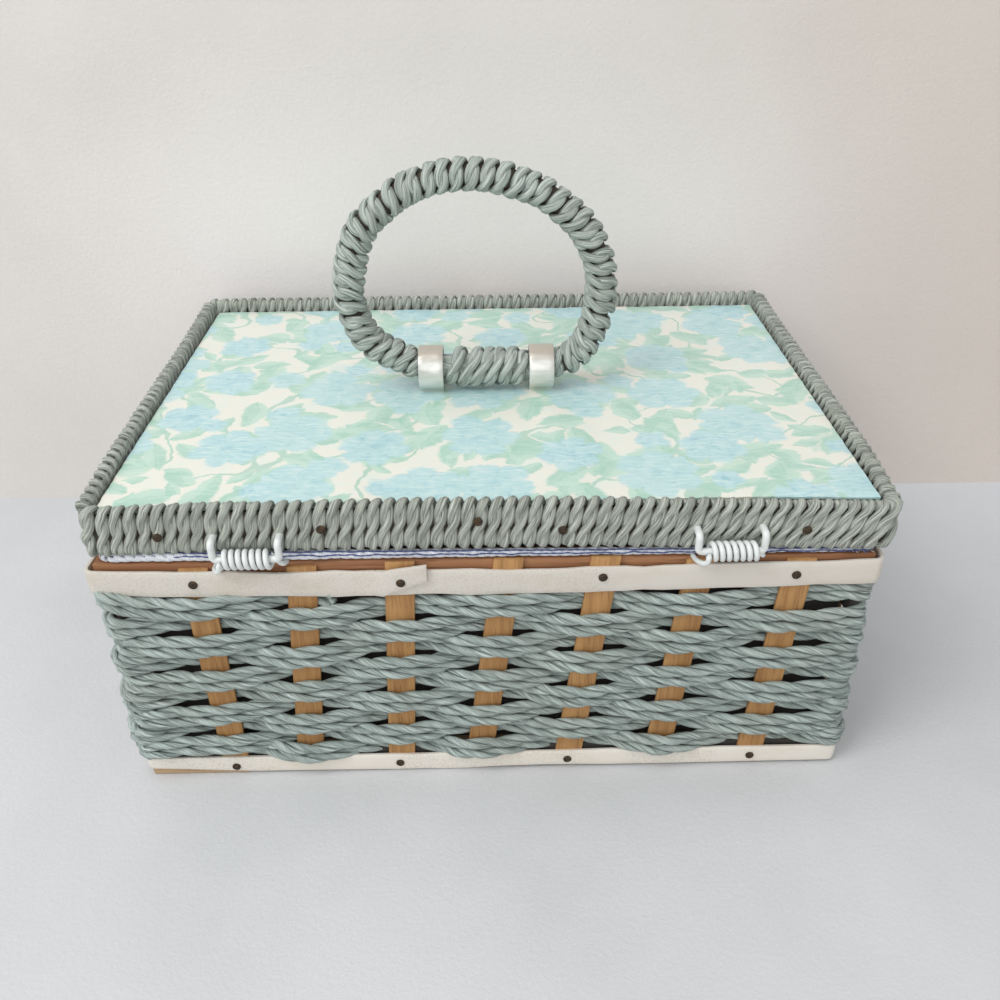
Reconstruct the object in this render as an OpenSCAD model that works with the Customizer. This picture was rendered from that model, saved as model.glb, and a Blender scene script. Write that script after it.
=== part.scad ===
// Woven sewing basket with one hinged lid and a ring handle.
// X runs along the hinge side, Y from the hinge side to the clasp side, Z up.
// The origin is the centre of the underside of the base.

/* [Basket] */
// Width over the white strips
basket_w = 280; // [200:1:360]
// Depth over the white strips
basket_d = 194; // [150:1:260]
// Height of the basket to the top of its wooden rail
basket_h = 107; // [80:1:150]
// Radius of the upright corners over the strips
corner_r = 10; // [9:0.5:16]
// Thickness of the base board
base_t = 10; // [7:0.5:16]
// Height of the wooden top rail
rail_h = 15; // [13:0.5:22]
// Thickness of the wooden top rail
rail_t = 8; // [6:0.5:12]

/* [Wall] */
// Width of a veneer stake
stake_w = 10.6; // [6:0.1:14]
// Thickness of a veneer stake
stake_t = 1.5; // [0.8:0.1:2.5]
// Stakes on the hinge side and on the clasp side
long_stakes = 7; // [5:2:9]
// Stakes on each end
end_stakes = 5; // [3:2:7]
// Distance between neighbouring stakes
stake_pitch = 35; // [24:0.5:44]
// Lean of the stakes, in degrees
stake_lean = 3; // [0:0.5:5]
// Diameter of the twisted paper cord of the weave
weave_cord_d = 4.4; // [2.5:0.1:6]

/* [Strips] */
// Thickness of the white binding strips
strip_t = 1.3; // [0.8:0.1:2]
// Height of the bottom strip
bottom_strip_h = 9.5; // [6:0.5:14]
// Bare edge of the base board left under the bottom strip
strip_foot = 1; // [0.5:0.5:3]
// Height of the top strip
top_strip_h = 10.5; // [6:0.5:13]
// Bare edge of the rail left over the top strip
rail_bare = 4; // [2:0.5:6]
// Length of the overlap where a strip's two ends meet
strip_lap = 18; // [12:1:26]
// Height of the braid on the rim
braid_h = 2.7; // [1.5:0.1:4]
// Width of the braid on the rim
braid_w = 3; // [2:0.1:4]

/* [Nails] */
// Diameter of a nail's head
nail_head_d = 3; // [2:0.1:4]
// Height of a nail's head
nail_head_h = 0.6; // [0.3:0.1:1]
// Diameter of a nail's shank
nail_d = 1.3; // [0.8:0.1:1.6]
// Length of a nail's shank in the basket
nail_l = 8; // [6:0.5:9.5]
// Length of a nail's shank in the lid
lid_nail_l = 15; // [12:0.5:20]
// Height of the border's nails over the underside of the lid board
lid_nail_rise = 1.3; // [1:0.1:3]
// How far the strips' nails sit below the middle of their strip
strip_nail_drop = 0.7; // [0:0.1:2]

/* [Lining] */
// Thickness of the lining cards
lining_t = 1.5; // [0.8:0.1:3]

/* [Lid] */
// Height of the cord-wound border of the lid
border_h = 20; // [17:0.5:28]
// Thickness of the bent lath in the border
lath_t = 3.8; // [3:0.1:6]
// How much less deep the lid is than the basket, at each side
lid_inset = 1.5; // [0:0.1:2]
// Depth of the floral panel below the top of the border
panel_drop = 5; // [3:0.5:7]
// Thickness of the lid board
lid_board_t = 6.5; // [5:0.5:8]
// Thickness of the printed cloth
print_t = 0.5; // [0.3:0.1:1]
// Thickness of the clear vinyl cover
vinyl_t = 0.5; // [0.3:0.1:1]

/* [Hinges] */
// Distance of each hinge from the middle of the lid
hinge_x = 83.5; // [50:0.5:90]
// Diameter of the coated wire of a hinge coil
coil_wire_d = 1.9; // [1.2:0.1:2.4]
// Turns of a hinge coil
coil_turns = 7.5; // [3.5:1:10.5]
// Gap between two turns of a hinge coil
coil_gap = 0.45; // [0.42:0.01:2]
// Diameter of the coated hinge wire that turns in the coil
axle_d = 2.6; // [1.8:0.1:3]
// Height of the hinge axis above the rail
hinge_rise = 2.5; // [2:0.1:4]
// Height over the border's lower edge at which the hinge wires enter it
wire_rise = 6; // [4:0.5:9]

/* [Handle] */
// Outer diameter of the cord-wound ring
handle_d = 13.5; // [10:0.5:16]
// Width of the ring between its centre lines
handle_w = 100.6; // [80:0.2:130]
// Height of the ring between its centre lines
handle_h = 79.4; // [64:0.2:83]
// Radius of the ring's two lower corners
handle_corner_r = 20; // [14:0.5:20]
// Height of the handle's axis above the floral panel
handle_rise = 8.5; // [7.5:0.1:12]
// How far the ring stands to the left of the middle
handle_shift = 3.4; // [0:0.1:3.5]
// Width of a strap
strap_w = 10.2; // [6:0.1:14]
// Thickness of a strap
strap_t = 1.4; // [0.8:0.1:2]
// Distance of each strap from the middle of the lid
strap_x = 22.8; // [16:0.1:23]
// Length of a strap's end under the lid board
strap_foot = 10; // [8:0.5:16]

/* [Winding] */
// Width of the cord wound round the border and the handle
cord_w = 4.4; // [3:0.1:6]
// Thickness of that cord where it lies pulled flat
cord_t = 1.8; // [1:0.1:2.4]
// Turns wound round the handle
handle_loops = 24; // [12:1:24]
// Turns wound round each long side of the border
long_loops = 24; // [12:1:24]
// Turns wound round each end of the border
end_loops = 16; // [8:1:20]

/* [Clasp] */
// Diameter of the knob's ball
knob_d = 9; // [7:0.5:10]
// Diameter of the knob's neck
neck_d = 4.4; // [3:0.2:5]
// Height of the knob above the bottom of the border
knob_rise = 10; // [8:0.5:12]
// Diameter of the clasp loop's wire
loop_wire_d = 2.2; // [1.6:0.1:3]
// Distance of the loop's pivot from the basket's strip
loop_stand = 6; // [5.5:0.5:8]
// Diameter of the knob's stem in the border
stem_d = 3; // [2:0.1:3.5]
// Length of the knob's neck
neck_l = 4.4; // [3.5:0.1:6]
// Thickness of the clasp's plate
plate_t = 0.8; // [0.5:0.1:1.5]
// Height of the clasp's plate
plate_h = 7; // [5:0.5:9]
// Width of each of the plate's two eyes
eye_w = 3.4; // [2:0.1:5]
// Thickness of the metal round the loop in an eye
eye_wall = 1.5; // [1:0.1:2]

/* [Clearances] */
// Gap between pieces that move on each other
run_gap = 0.35; // [0.25:0.05:0.6]
// Gap round nails, stakes and edges that are only pushed in
fit_gap = 0.1; // [0.05:0.05:0.3]
// Gap between the closed lid and the braid
close_gap = 0.4; // [0.3:0.1:1]

/* [Hidden] */
$fn = 48;

// The four sides, each turned from the hinge side by this many quarter turns
HINGE_SIDE = 0;
RIGHT_SIDE = 1;
CLASP_SIDE = 2;
LEFT_SIDE = 3;

// Rings in one turn of a wound cord, and the corner angle of that many-sided turn
turn_rings = 8;
ring_cos = cos(180 / turn_rings);
// A sliver by which pieces of one solid reach into each other
eps = 0.01;
// Radius of a wire's bends, in diameters of the wire
bend_share = 0.6;

// Layers of the wall, from the strip inwards
stake_face = strip_t;
board_face = strip_t + stake_t;
wall_out = weave_cord_d - strip_t;
wall_in = board_face + weave_cord_d;
wall_z0 = strip_foot + bottom_strip_h + fit_gap;
top_strip_z = basket_h - rail_bare - top_strip_h;
wall_z1 = min(basket_h - rail_h, top_strip_z) - fit_gap;
stake_z0 = strip_foot;
stake_z1 = basket_h - rail_bare;
stake_zm = (stake_z0 + stake_z1) / 2;

// The lid, from its border inwards
border_t = lath_t + 2 * (cord_t + fit_gap);
border_z0 = basket_h + braid_h + close_gap;
border_zm = border_z0 + border_h / 2;
lid_w = basket_w;
lid_d = basket_d - 2 * lid_inset;
hoop_h = border_h - 2 * cord_t - 6 * fit_gap;
panel_z = border_z0 + border_h - panel_drop;
board_z1 = panel_z - vinyl_t - print_t;
board_z0 = board_z1 - lid_board_t;
board_w = lid_w - 2 * (border_t + fit_gap);
board_d = lid_d - 2 * (border_t + fit_gap);
board_r = corner_r - border_t;
nail_z = board_z0 + lid_nail_rise;

// Hinges: the coil is many-sided, so its corners stand a little further out than its bore
coil_r = (axle_d / 2 + run_gap + coil_wire_d / 2) / ring_cos;
coil_out_r = coil_r + coil_wire_d / 2;
axis_y = -(lid_d / 2 + run_gap + coil_out_r);
axis_z = basket_h + hinge_rise;
coil_pitch = coil_wire_d + coil_gap;
coil_l = coil_turns * coil_pitch;
coil_leg_z = basket_h - rail_bare + coil_wire_d / 2 + run_gap;
wire_leg_x = coil_l / 2 + coil_wire_d / 2 + run_gap + axle_d / 2;
wire_leg_z = border_z0 + wire_rise;

// Handle: the cord's many-sided turns touch the core at their flats
turn_r = (handle_d - cord_t) / 2;
core_d = 2 * (turn_r * ring_cos - cord_t / 2 - fit_gap / 2);
handle_z = panel_z + handle_rise;
bar_half = handle_w / 2 - handle_corner_r;
side_h = handle_h - handle_w / 2 - handle_corner_r;
strap_ri = handle_d / 2 + run_gap;
strap_ro = strap_ri + strap_t;

// Clasp: the loop hangs from the strip and swings up over the knob on the lid
pivot_y = basket_d / 2 + loop_stand;
pivot_z = top_strip_z + top_strip_h / 2;
knob_z = border_z0 + knob_rise;
ball_sink = neck_d / 5;
foot_t = 1;
foot_wall = 1.5;
ball_y = lid_d / 2 + neck_l + knob_d / 2 - ball_sink;
loop_slack = 1.5;
loop_half = knob_d / 2 + loop_slack + loop_wire_d / 2;
loop_len = norm([ball_y - pivot_y, knob_z - pivot_z]) + knob_d / 2 + run_gap + loop_wire_d / 2;
eye_d = loop_wire_d + 2 * eye_wall;
web_t = loop_wire_d;
plate_w = 2 * (loop_half + loop_wire_d / 2 + fit_gap + eye_w);
plate_nail_x = (plate_w / 2 - eye_w) / 2;

// Half the distance across the basket's strips, or the lid, at a side
function half_across(side) = (side % 2 == 0 ? basket_d : basket_w) / 2;
function lid_half(side) = (side % 2 == 0 ? lid_d : lid_w) / 2;
function stake_count(side) = side % 2 == 0 ? long_stakes : end_stakes;

// Where stake k of a side stands at height z
function stake_x(side, k, z) =
    (k - (stake_count(side) - 1) / 2) * stake_pitch + (z - stake_zm) * tan(stake_lean);

// Every second stake is nailed through the strips
function nailed(side) = [for (k = [0:2:stake_count(side) - 1]) k];

// The border's nails along a side, as shares of half its straight length
function lid_nail_shares(side) =
    side == HINGE_SIDE ? [-0.87, -0.44, -0.03, 0.2, 0.85]
    : side == CLASP_SIDE ? [-0.85, -0.3, 0.3, 0.85]
    : [-0.7, 0.03, 0.7];

// Running sums of a list, from nothing to the whole
function sums(v, i = 0, total = 0) =
    i == len(v) ? [total] : concat([total], sums(v, i + 1, total + v[i]));

// One closed turn of cord round the border's lath: places across and up, from the middle of the lath
turn_x = lath_t / 2 + fit_gap + cord_t / 2;
turn_top = border_h / 2 - cord_t / 2;
turn_face = hoop_h / 2 - lath_t / 2 + 2 * fit_gap;
BORDER_TURN = [
    [turn_x, -turn_face], [turn_x, turn_face], [lath_t / 2, turn_top], [-lath_t / 2, turn_top],
    [-turn_x, turn_face], [-turn_x, -turn_face], [-lath_t / 2, -turn_top], [lath_t / 2, -turn_top]
];
BORDER_SUMS = sums([for (i = [0:turn_rings - 1]) norm(BORDER_TURN[(i + 1) % turn_rings] - BORDER_TURN[i])]);

// A point and a direction on half a rounded border side: corner, straight, corner, from s = 0
mid_r = corner_r - border_t / 2;
function side_straight(side) = (side % 2 == 0 ? lid_w : lid_d) - 2 * corner_r;
function side_length(side) = side_straight(side) + mid_r * PI / 2;
function lid_nail_x(side) = lid_nail_shares(side) * side_straight(side) / 2;
function side_place(side, s) =
    let (arc = mid_r * PI / 4, l = side_straight(side))
    s < arc ? [-l / 2, 0, -(arc - s) / mid_r * 180 / PI]
    : s > arc + l ? [l / 2, 0, (s - arc - l) / mid_r * 180 / PI]
    : [s - arc - l / 2, 0, 0];

// One ring of a swept cord: its centre, the way out, the way along, half thickness and half width
function ring(p, out, along, ht, hw, sides) =
    let (angles = [for (k = [0:sides - 1]) 360 * (k + 0.5) / sides],
         high = max([for (a = angles) sin(a)]),
         wide = max([for (a = angles) cos(a)]))
    [for (a = angles) p + out * ht * sin(a) / high + along * hw * cos(a) / wide];

// Ring number i of a border winding, in the side's own place: x along, -y outwards, z up
function border_ring(side, loops, i) =
    let (k = i % turn_rings,
         turn = floor(i / turn_rings) + BORDER_SUMS[k] / BORDER_SUMS[turn_rings],
         s = cord_w + (side_length(side) - 2 * cord_w) * turn / loops,
         place = side_place(side, s),
         q = BORDER_TURN[k],
         next = BORDER_TURN[(k + 1) % turn_rings],
         last = BORDER_TURN[(k + turn_rings - 1) % turn_rings],
         d = next - last,
         across = [d.y, -d.x] / norm(d),
         away = [sin(place.z), -cos(place.z), 0],
         along = [cos(place.z), sin(place.z), 0],
         y0 = -(lid_half(side) - corner_r))
    ring([place.x, y0, border_zm] + away * (mid_r + q.x) + [0, 0, q.y],
         away * across.x + [0, 0, across.y], along, cord_t / 2, cord_w / 2, 4);

function border_rings(side, loops) = [for (i = [0:loops * turn_rings]) border_ring(side, loops, i)];

// The handle's centre line: its place and direction at the distance s from the middle of the bar
ring_half = bar_half + handle_corner_r * PI / 2 + side_h + handle_w * PI / 4;
function right_half(s) =
    let (s1 = bar_half, s2 = s1 + handle_corner_r * PI / 2, s3 = s2 + side_h)
    s < s1 ? [s, 0, 0]
    : s < s2 ? let (a = (s - s1) / handle_corner_r * 180 / PI)
        [bar_half + handle_corner_r * sin(a), handle_corner_r * (1 - cos(a)), a]
    : s < s3 ? [handle_w / 2, handle_corner_r + s - s2, 90]
    : let (a = (s - s3) / (handle_w / 2) * 180 / PI)
        [handle_w / 2 * cos(a), handle_corner_r + side_h + handle_w / 2 * sin(a), 90 + a];
function handle_place(s) =
    s <= ring_half ? right_half(s) : let (p = right_half(2 * ring_half - s)) [-p.x, p.y, 360 - p.z];

// Ring number i of the handle's winding
function handle_ring(i) =
    let (p = handle_place(cord_w + (2 * ring_half - 2 * cord_w) * i / turn_rings / handle_loops),
         a = 360 * i / turn_rings,
         side = [sin(p.z), 0, -cos(p.z)],
         out = side * cos(a) + [0, 1, 0] * sin(a))
    ring([p.x - handle_shift, 0, p.y + handle_z] + out * turn_r,
         out, [cos(p.z), 0, sin(p.z)], cord_t / 2, cord_w / 2, 6);
HANDLE_RINGS = [for (i = [0:handle_loops * turn_rings]) handle_ring(i)];

// A hinge coil's wire: out of the rail, up the front, round and round, down behind and back into the rail.
// Each entry is a place along, across and up, and the angle that the ring's outer side looks to.
front_y = axis_y - coil_r;
back_y = axis_y + coil_r;
rail_in_y = -(basket_d / 2 - board_face - rail_t / 2);
bend = coil_wire_d;
cut = bend * (1 - cos(45));
COIL_PATH = concat(
    [[0, rail_in_y, coil_leg_z, 270],
     [0, front_y + bend, coil_leg_z, 270],
     [0, front_y + cut, coil_leg_z + cut, 225],
     [0, front_y, coil_leg_z + bend, 180]],
    [for (i = [0:coil_turns * turn_rings])
        let (a = 180 - 360 * i / turn_rings)
        [coil_pitch * i / turn_rings, axis_y + coil_r * cos(a), axis_z + coil_r * sin(a), a]],
    [[coil_l, back_y, coil_leg_z + bend, 0],
     [coil_l, back_y + cut, coil_leg_z + cut, 45],
     [coil_l, back_y + bend, coil_leg_z, 90],
     [coil_l, rail_in_y, coil_leg_z, 90]]);
COIL_RINGS = [for (q = COIL_PATH)
    ring([q[0] - coil_l / 2, q[1], q[2]], [0, cos(q[3]), sin(q[3])], [1, 0, 0],
         coil_wire_d / 2, coil_wire_d / 2, 6)];

// The least distance between the corners of two turns that lie side by side
function least_gap(rings, from, to) =
    min([for (i = [from:to - turn_rings], p = rings[i], q = rings[i + turn_rings]) norm(p - q)]);
echo(str("hinge coil, least gap to itself in mm: ",
    least_gap(COIL_RINGS, 4, 4 + coil_turns * turn_rings)));
echo(str("handle winding, least gap to itself in mm: ",
    least_gap(HANDLE_RINGS, 0, handle_loops * turn_rings)));
echo(str("border winding on a long side, least gap to itself in mm: ",
    least_gap(border_rings(HINGE_SIDE, long_loops), 0, long_loops * turn_rings)));
echo(str("border winding on an end, least gap to itself in mm: ",
    least_gap(border_rings(LEFT_SIDE, end_loops), 0, end_loops * turn_rings)));

// A closed tube through rings that all have the same number of corners
module swept(rings) {
    m = len(rings[0]);
    n = len(rings);
    polyhedron(
        points = [for (r = rings) each r],
        faces = concat(
            [for (i = [0:n - 2], j = [0:m - 1])
                each [[i * m + j, (i + 1) * m + j, (i + 1) * m + (j + 1) % m],
                      [i * m + j, (i + 1) * m + (j + 1) % m, i * m + (j + 1) % m]]],
            [for (j = [1:m - 2]) [0, j, j + 1]],
            [for (j = [1:m - 2]) [(n - 1) * m, (n - 1) * m + j + 1, (n - 1) * m + j]]));
}

// Puts what is drawn for the hinge side on another side
module on_side(side) rotate([0, 0, 90 * side]) children();

// A flat rectangle with true round corners
module rounded_rect(w, d, r) {
    square([w - 2 * r, d], center = true);
    square([w, d - 2 * r], center = true);
    for (x = [-1, 1], y = [-1, 1])
        translate([x * (w / 2 - r), y * (d / 2 - r)]) circle(r);
}

// A standing block with round upright corners, set in from the strips' outer face
module block(inset, z0, z1) {
    translate([0, 0, z0])
        linear_extrude(z1 - z0)
            rounded_rect(basket_w - 2 * inset, basket_d - 2 * inset, corner_r - inset);
}

// A hollow block between two insets
module band(inset_out, inset_in, z0, z1) {
    difference() {
        block(inset_out, z0, z1);
        translate([0, 0, z0 - 1])
            linear_extrude(z1 - z0 + 2)
                rounded_rect(basket_w - 2 * inset_in, basket_d - 2 * inset_in, max(corner_r - inset_in, 1));
    }
}

// A round bar from the point a to the point b
module rod(a, b, d) {
    v = b - a;
    translate(a)
        rotate([0, acos(v.z / norm(v)), atan2(v.y, v.x)])
            cylinder(d = d, h = norm(v));
}

// A quarter bend at the corner p of a wire that turns from one direction to another
module elbow(p, before, after, r, d) {
    c = p + r * (after - before);
    axis = cross(before, after);
    multmatrix([for (i = [0:2]) [-after[i], before[i], axis[i], c[i]]])
        rotate_extrude(angle = 90) translate([r, 0]) circle(d = d);
}

// A size rounded to a micrometre, so that pieces that share it meet face to face
function exact(v) = round(v * 1000) / 1000;

// A wire through a list of corners, with square turns bent round and flat ends
module bent_wire(corners, d) {
    points = [for (p = corners) [for (v = p) exact(v)]];
    r = exact(bend_share * d);
    last = len(points) - 2;
    way = [for (i = [0:last]) (points[i + 1] - points[i]) / norm(points[i + 1] - points[i])];
    for (i = [0:last])
        rod(points[i] + (i > 0 ? r : 0) * way[i], points[i + 1] - (i < last ? r : 0) * way[i], d);
    for (i = [1:last])
        elbow(points[i], way[i - 1], way[i], r, d);
}

// A nail whose head seats on the plane y = 0 and whose shank points to +Y
module nail(l, extra = 0) {
    rotate([90, 0, 0]) {
        translate([0, 0, -l]) cylinder(d = nail_d + extra, h = l + eps);
        cylinder(d1 = nail_head_d, d2 = nail_head_d * 0.55, h = nail_head_h);
    }
}

// The hole that a nail's shank fills
module nail_hole(l) rotate([-90, 0, 0]) translate([0, 0, -1])
    cylinder(d = nail_d + fit_gap, h = l + 1 + fit_gap);

// A side's strips: where the ends of a strip overlap, its nail stands out by the strip's thickness
function lap_side(top) = top ? HINGE_SIDE : CLASP_SIDE;
function lapped(side, k, top) = side == lap_side(top) && k == 2;

module at_strip_nail(side, k, top) {
    z = (top ? top_strip_z + top_strip_h / 2 : strip_foot + bottom_strip_h / 2) - strip_nail_drop;
    out = lapped(side, k, top) ? strip_t : 0;
    on_side(side) translate([stake_x(side, k, z), -half_across(side) - out, z]) children();
}

module strip_nails(top) {
    for (side = [0:3], k = nailed(side))
        at_strip_nail(side, k, top) nail(nail_l);
}

module strip_nail_holes(top) {
    for (side = [0:3], k = nailed(side))
        at_strip_nail(side, k, top) nail_hole(nail_l);
}

// The clasp's plate is nailed to the rail through the top strip
module at_plate_nail(e) {
    translate([e * plate_nail_x, basket_d / 2 + plate_t, pivot_z]) rotate([0, 0, 180]) children();
}

module plate_nail_holes() {
    for (e = [-1, 1])
        at_plate_nail(e) nail_hole(nail_l);
}

// Every hole that a nail makes at the height of the rail
module rail_nail_holes() {
    strip_nail_holes(true);
    plate_nail_holes();
}

// One veneer stake of the hinge side, or with a gap all round, its slot in the weave
module stake(side, k, gap = 0) {
    l = stake_z1 - stake_z0 + 2 * gap;
    translate([stake_x(side, k, stake_zm), -half_across(side) + stake_face + stake_t / 2, stake_zm])
        rotate([0, stake_lean, 0])
            cube([stake_w + 2 * gap, stake_t + 2 * gap, l], center = true);
}

module stakes(side) {
    color("peru") difference() {
        on_side(side)
            for (k = [0:stake_count(side) - 1])
                stake(side, k);
        rail_nail_holes();
        strip_nail_holes(false);
    }
}

module base_board() {
    color("burlywood") difference() {
        block(board_face, 0, base_t);
        strip_nail_holes(false);
    }
}

// Holes that the two ends of each hinge coil take in the rail
module coil_holes() {
    for (x = [-hinge_x, hinge_x], e = [-1, 1])
        translate([x + e * coil_l / 2, rail_in_y, coil_leg_z])
            rotate([90, 0, 0])
                cylinder(d = coil_wire_d / cos(30) + 2 * fit_gap, h = rail_t);
}

// The wooden top rail, cut into four pieces that butt behind the corners
module rails() {
    difference() {
        band(board_face, board_face + rail_t, basket_h - rail_h, basket_h);
        rail_nail_holes();
        coil_holes();
    }
}

module long_rail(side) {
    color("sienna") intersection() {
        rails();
        on_side(side)
            translate([-basket_w / 2, -basket_d / 2, 0])
                cube([basket_w, board_face + rail_t, basket_h + 1]);
    }
}

module end_rail(side) {
    color("sienna") intersection() {
        rails();
        on_side(side)
            translate([-(basket_d / 2 - board_face - rail_t), -basket_w / 2, 0])
                cube([basket_d - 2 * (board_face + rail_t), board_face + rail_t, basket_h + 1]);
    }
}

// The weave of paper cord as one closed wall, with the slots that its stakes run in
module woven_wall() {
    color("lightslategray") difference() {
        band(-wall_out, wall_in, wall_z0, wall_z1);
        for (side = [0:3])
            on_side(side)
                for (k = [0:stake_count(side) - 1])
                    stake(side, k, fit_gap);
    }
}

// A white strip round the basket, with its two ends overlapped
module strip(z0, h, top) {
    color("white") difference() {
        union() {
            band(0, strip_t, z0, z0 + h);
            on_side(lap_side(top))
                translate([stake_x(0, 2, z0 + h / 2) - strip_lap / 2, -basket_d / 2 - strip_t, z0])
                    cube([strip_lap, strip_t + eps, h]);
        }
        if (top) rail_nail_holes();
        else strip_nail_holes(false);
    }
}

module bottom_strip() strip(strip_foot, bottom_strip_h, false);
module top_strip() strip(top_strip_z, top_strip_h, true);
module bottom_strip_nails() color("dimgray") strip_nails(false);
module top_strip_nails() color("dimgray") strip_nails(true);

// Blue and white braid on the outer edge of the rail
module rim_braid() {
    color("slategray") band(board_face, board_face + braid_w, basket_h, basket_h + braid_h);
}

// Lining cards inside the wall and on the base
lining_face = board_face + rail_t;
module lining_floor() {
    color("lightblue")
        translate([-basket_w / 2 + lining_face, -basket_d / 2 + lining_face, base_t])
            cube([basket_w - 2 * lining_face, basket_d - 2 * lining_face, lining_t]);
}

module lining_wall(side) {
    l = side % 2 == 0 ? basket_w - 2 * lining_face : basket_d - 2 * (lining_face + lining_t);
    color("lightblue")
        on_side(side)
            translate([-l / 2, -half_across(side) + lining_face, base_t + lining_t])
                cube([l, lining_t, basket_h - base_t - lining_t - 0.5]);
}

module hinge_coil(x) color("white") translate([x, 0, 0]) swept(COIL_RINGS);

// The clasp's plate, with two eyes for the loop's ends
module clasp_plate() {
    color("silver") difference() {
        union() {
            translate([-plate_w / 2, basket_d / 2, pivot_z - plate_h / 2])
                cube([plate_w, plate_t, plate_h]);
            for (e = [-1, 1])
                translate([e * (plate_w - eye_w) / 2, 0, pivot_z]) {
                    translate([-eye_w / 2, basket_d / 2, -web_t / 2])
                        cube([eye_w, loop_stand - (loop_wire_d + eye_wall) / 2, web_t]);
                    translate([-eye_w / 2, pivot_y, 0])
                        rotate([0, 90, 0]) cylinder(d = eye_d, h = eye_w);
                }
        }
        translate([-plate_w, pivot_y, pivot_z])
            rotate([0, 90, 0]) cylinder(d = loop_wire_d + 2 * fit_gap, h = 2 * plate_w);
        plate_nail_holes();
    }
}

module clasp_plate_nails() {
    color("dimgray")
        for (e = [-1, 1])
            at_plate_nail(e) nail(nail_l);
}

// The wire loop, hanging open from its plate
module clasp_loop() {
    x1 = plate_w / 2;
    color("white")
        bent_wire([
            [-x1, pivot_y, pivot_z], [-loop_half, pivot_y, pivot_z],
            [-loop_half, pivot_y, pivot_z - loop_len], [loop_half, pivot_y, pivot_z - loop_len],
            [loop_half, pivot_y, pivot_z], [x1, pivot_y, pivot_z]], loop_wire_d);
}

// Section of the bent lath: flat faces and full round edges
module hoop_section() {
    square([lath_t, hoop_h - lath_t], center = true);
    for (e = [-1, 1])
        translate([0, e * (hoop_h - lath_t) / 2]) circle(d = lath_t);
}

module at_lid_nail(side, x) on_side(side) translate([x, -lid_half(side), nail_z]) children();

module lid_nail_holes() {
    for (side = [0:3], x = lid_nail_x(side))
        at_lid_nail(side, x) nail_hole(lid_nail_l);
}

// Holes that the ends of the hinge wires and the knob's stem take in the hoop
module hoop_holes() {
    for (x = [-hinge_x, hinge_x], e = [-1, 1])
        translate([x + e * wire_leg_x, -lid_d / 2 + border_t / 2, wire_leg_z])
            rotate([90, 0, 0]) cylinder(d = axle_d + fit_gap, h = border_t);
    translate([0, lid_d / 2 - border_t, knob_z])
        rotate([-90, 0, 0]) cylinder(d = stem_d + fit_gap, h = border_t + 1);
}

module lid_hoop() {
    l = [lid_w - 2 * corner_r, lid_d - 2 * corner_r];
    color("tan") difference() {
        translate([0, 0, border_zm]) {
            for (e = [-1, 1]) {
                translate([-l.x / 2, e * (lid_d - border_t) / 2, 0])
                    rotate([90, 0, 90]) linear_extrude(l.x) hoop_section();
                translate([e * (lid_w - border_t) / 2, l.y / 2, 0])
                    rotate([90, 0, 0]) linear_extrude(l.y) hoop_section();
            }
            for (q = [[1, 1, 0], [-1, 1, 90], [-1, -1, 180], [1, -1, 270]])
                translate([q.x * l.x / 2, q.y * l.y / 2, 0])
                    rotate([0, 0, q.z])
                        rotate_extrude(angle = 90) translate([mid_r, 0]) hoop_section();
        }
        lid_nail_holes();
        hoop_holes();
    }
}

// Slots that the straps' ends pass through
module strap_slots(z0, z1) {
    for (x = [-strap_x, strap_x], e = [-1, 1])
        translate([x, e * (strap_ri + strap_ro) / 2, (z0 + z1) / 2])
            cube([strap_w + 2 * fit_gap, strap_t + 2 * fit_gap, z1 - z0 + 2], center = true);
}

module lid_sheet(z0, z1, inset = 0) {
    difference() {
        translate([0, 0, z0])
            linear_extrude(z1 - z0)
                rounded_rect(board_w - 2 * inset, board_d - 2 * inset, board_r);
        strap_slots(z0, z1);
    }
}

module lid_board() {
    color("burlywood") difference() {
        lid_sheet(board_z0, board_z1);
        lid_nail_holes();
        for (x = [-strap_x, strap_x], e = [-1, 1])
            at_strap_tack(x, e) cylinder(d = nail_d + fit_gap, h = tack_l - strap_t + fit_gap);
    }
}

module lid_print() color("powderblue") lid_sheet(board_z1, board_z1 + print_t);
module vinyl_cover() color("aliceblue", 0.5) lid_sheet(panel_z - vinyl_t, panel_z);

// Lining card under the lid board, below the ends of the straps
module lid_lining() {
    z1 = board_z0 - strap_t - nail_head_h - fit_gap;
    color("lightblue")
        translate([0, 0, z1 - lining_t])
            linear_extrude(lining_t) rounded_rect(board_w, board_d, board_r);
}

module lid_nails() {
    color("dimgray")
        for (side = [0:3], x = lid_nail_x(side))
            at_lid_nail(side, x) nail(lid_nail_l);
}

module border_winding(side, loops) {
    color("lightsteelblue") on_side(side) swept(border_rings(side, loops));
}

// The wire that the lid turns on: up out of the hoop, through the coil and back up
module hinge_wire(x) {
    y_in = -lid_d / 2 + border_t / 2;
    color("white")
        bent_wire([
            [x - wire_leg_x, y_in, wire_leg_z], [x - wire_leg_x, axis_y, wire_leg_z],
            [x - wire_leg_x, axis_y, axis_z], [x + wire_leg_x, axis_y, axis_z],
            [x + wire_leg_x, axis_y, wire_leg_z], [x + wire_leg_x, y_in, wire_leg_z]], axle_d);
}

tack_l = 5;
module at_strap_tack(x, e) translate([x, e * (strap_ro + strap_foot / 2), board_z0]) children();

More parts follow.
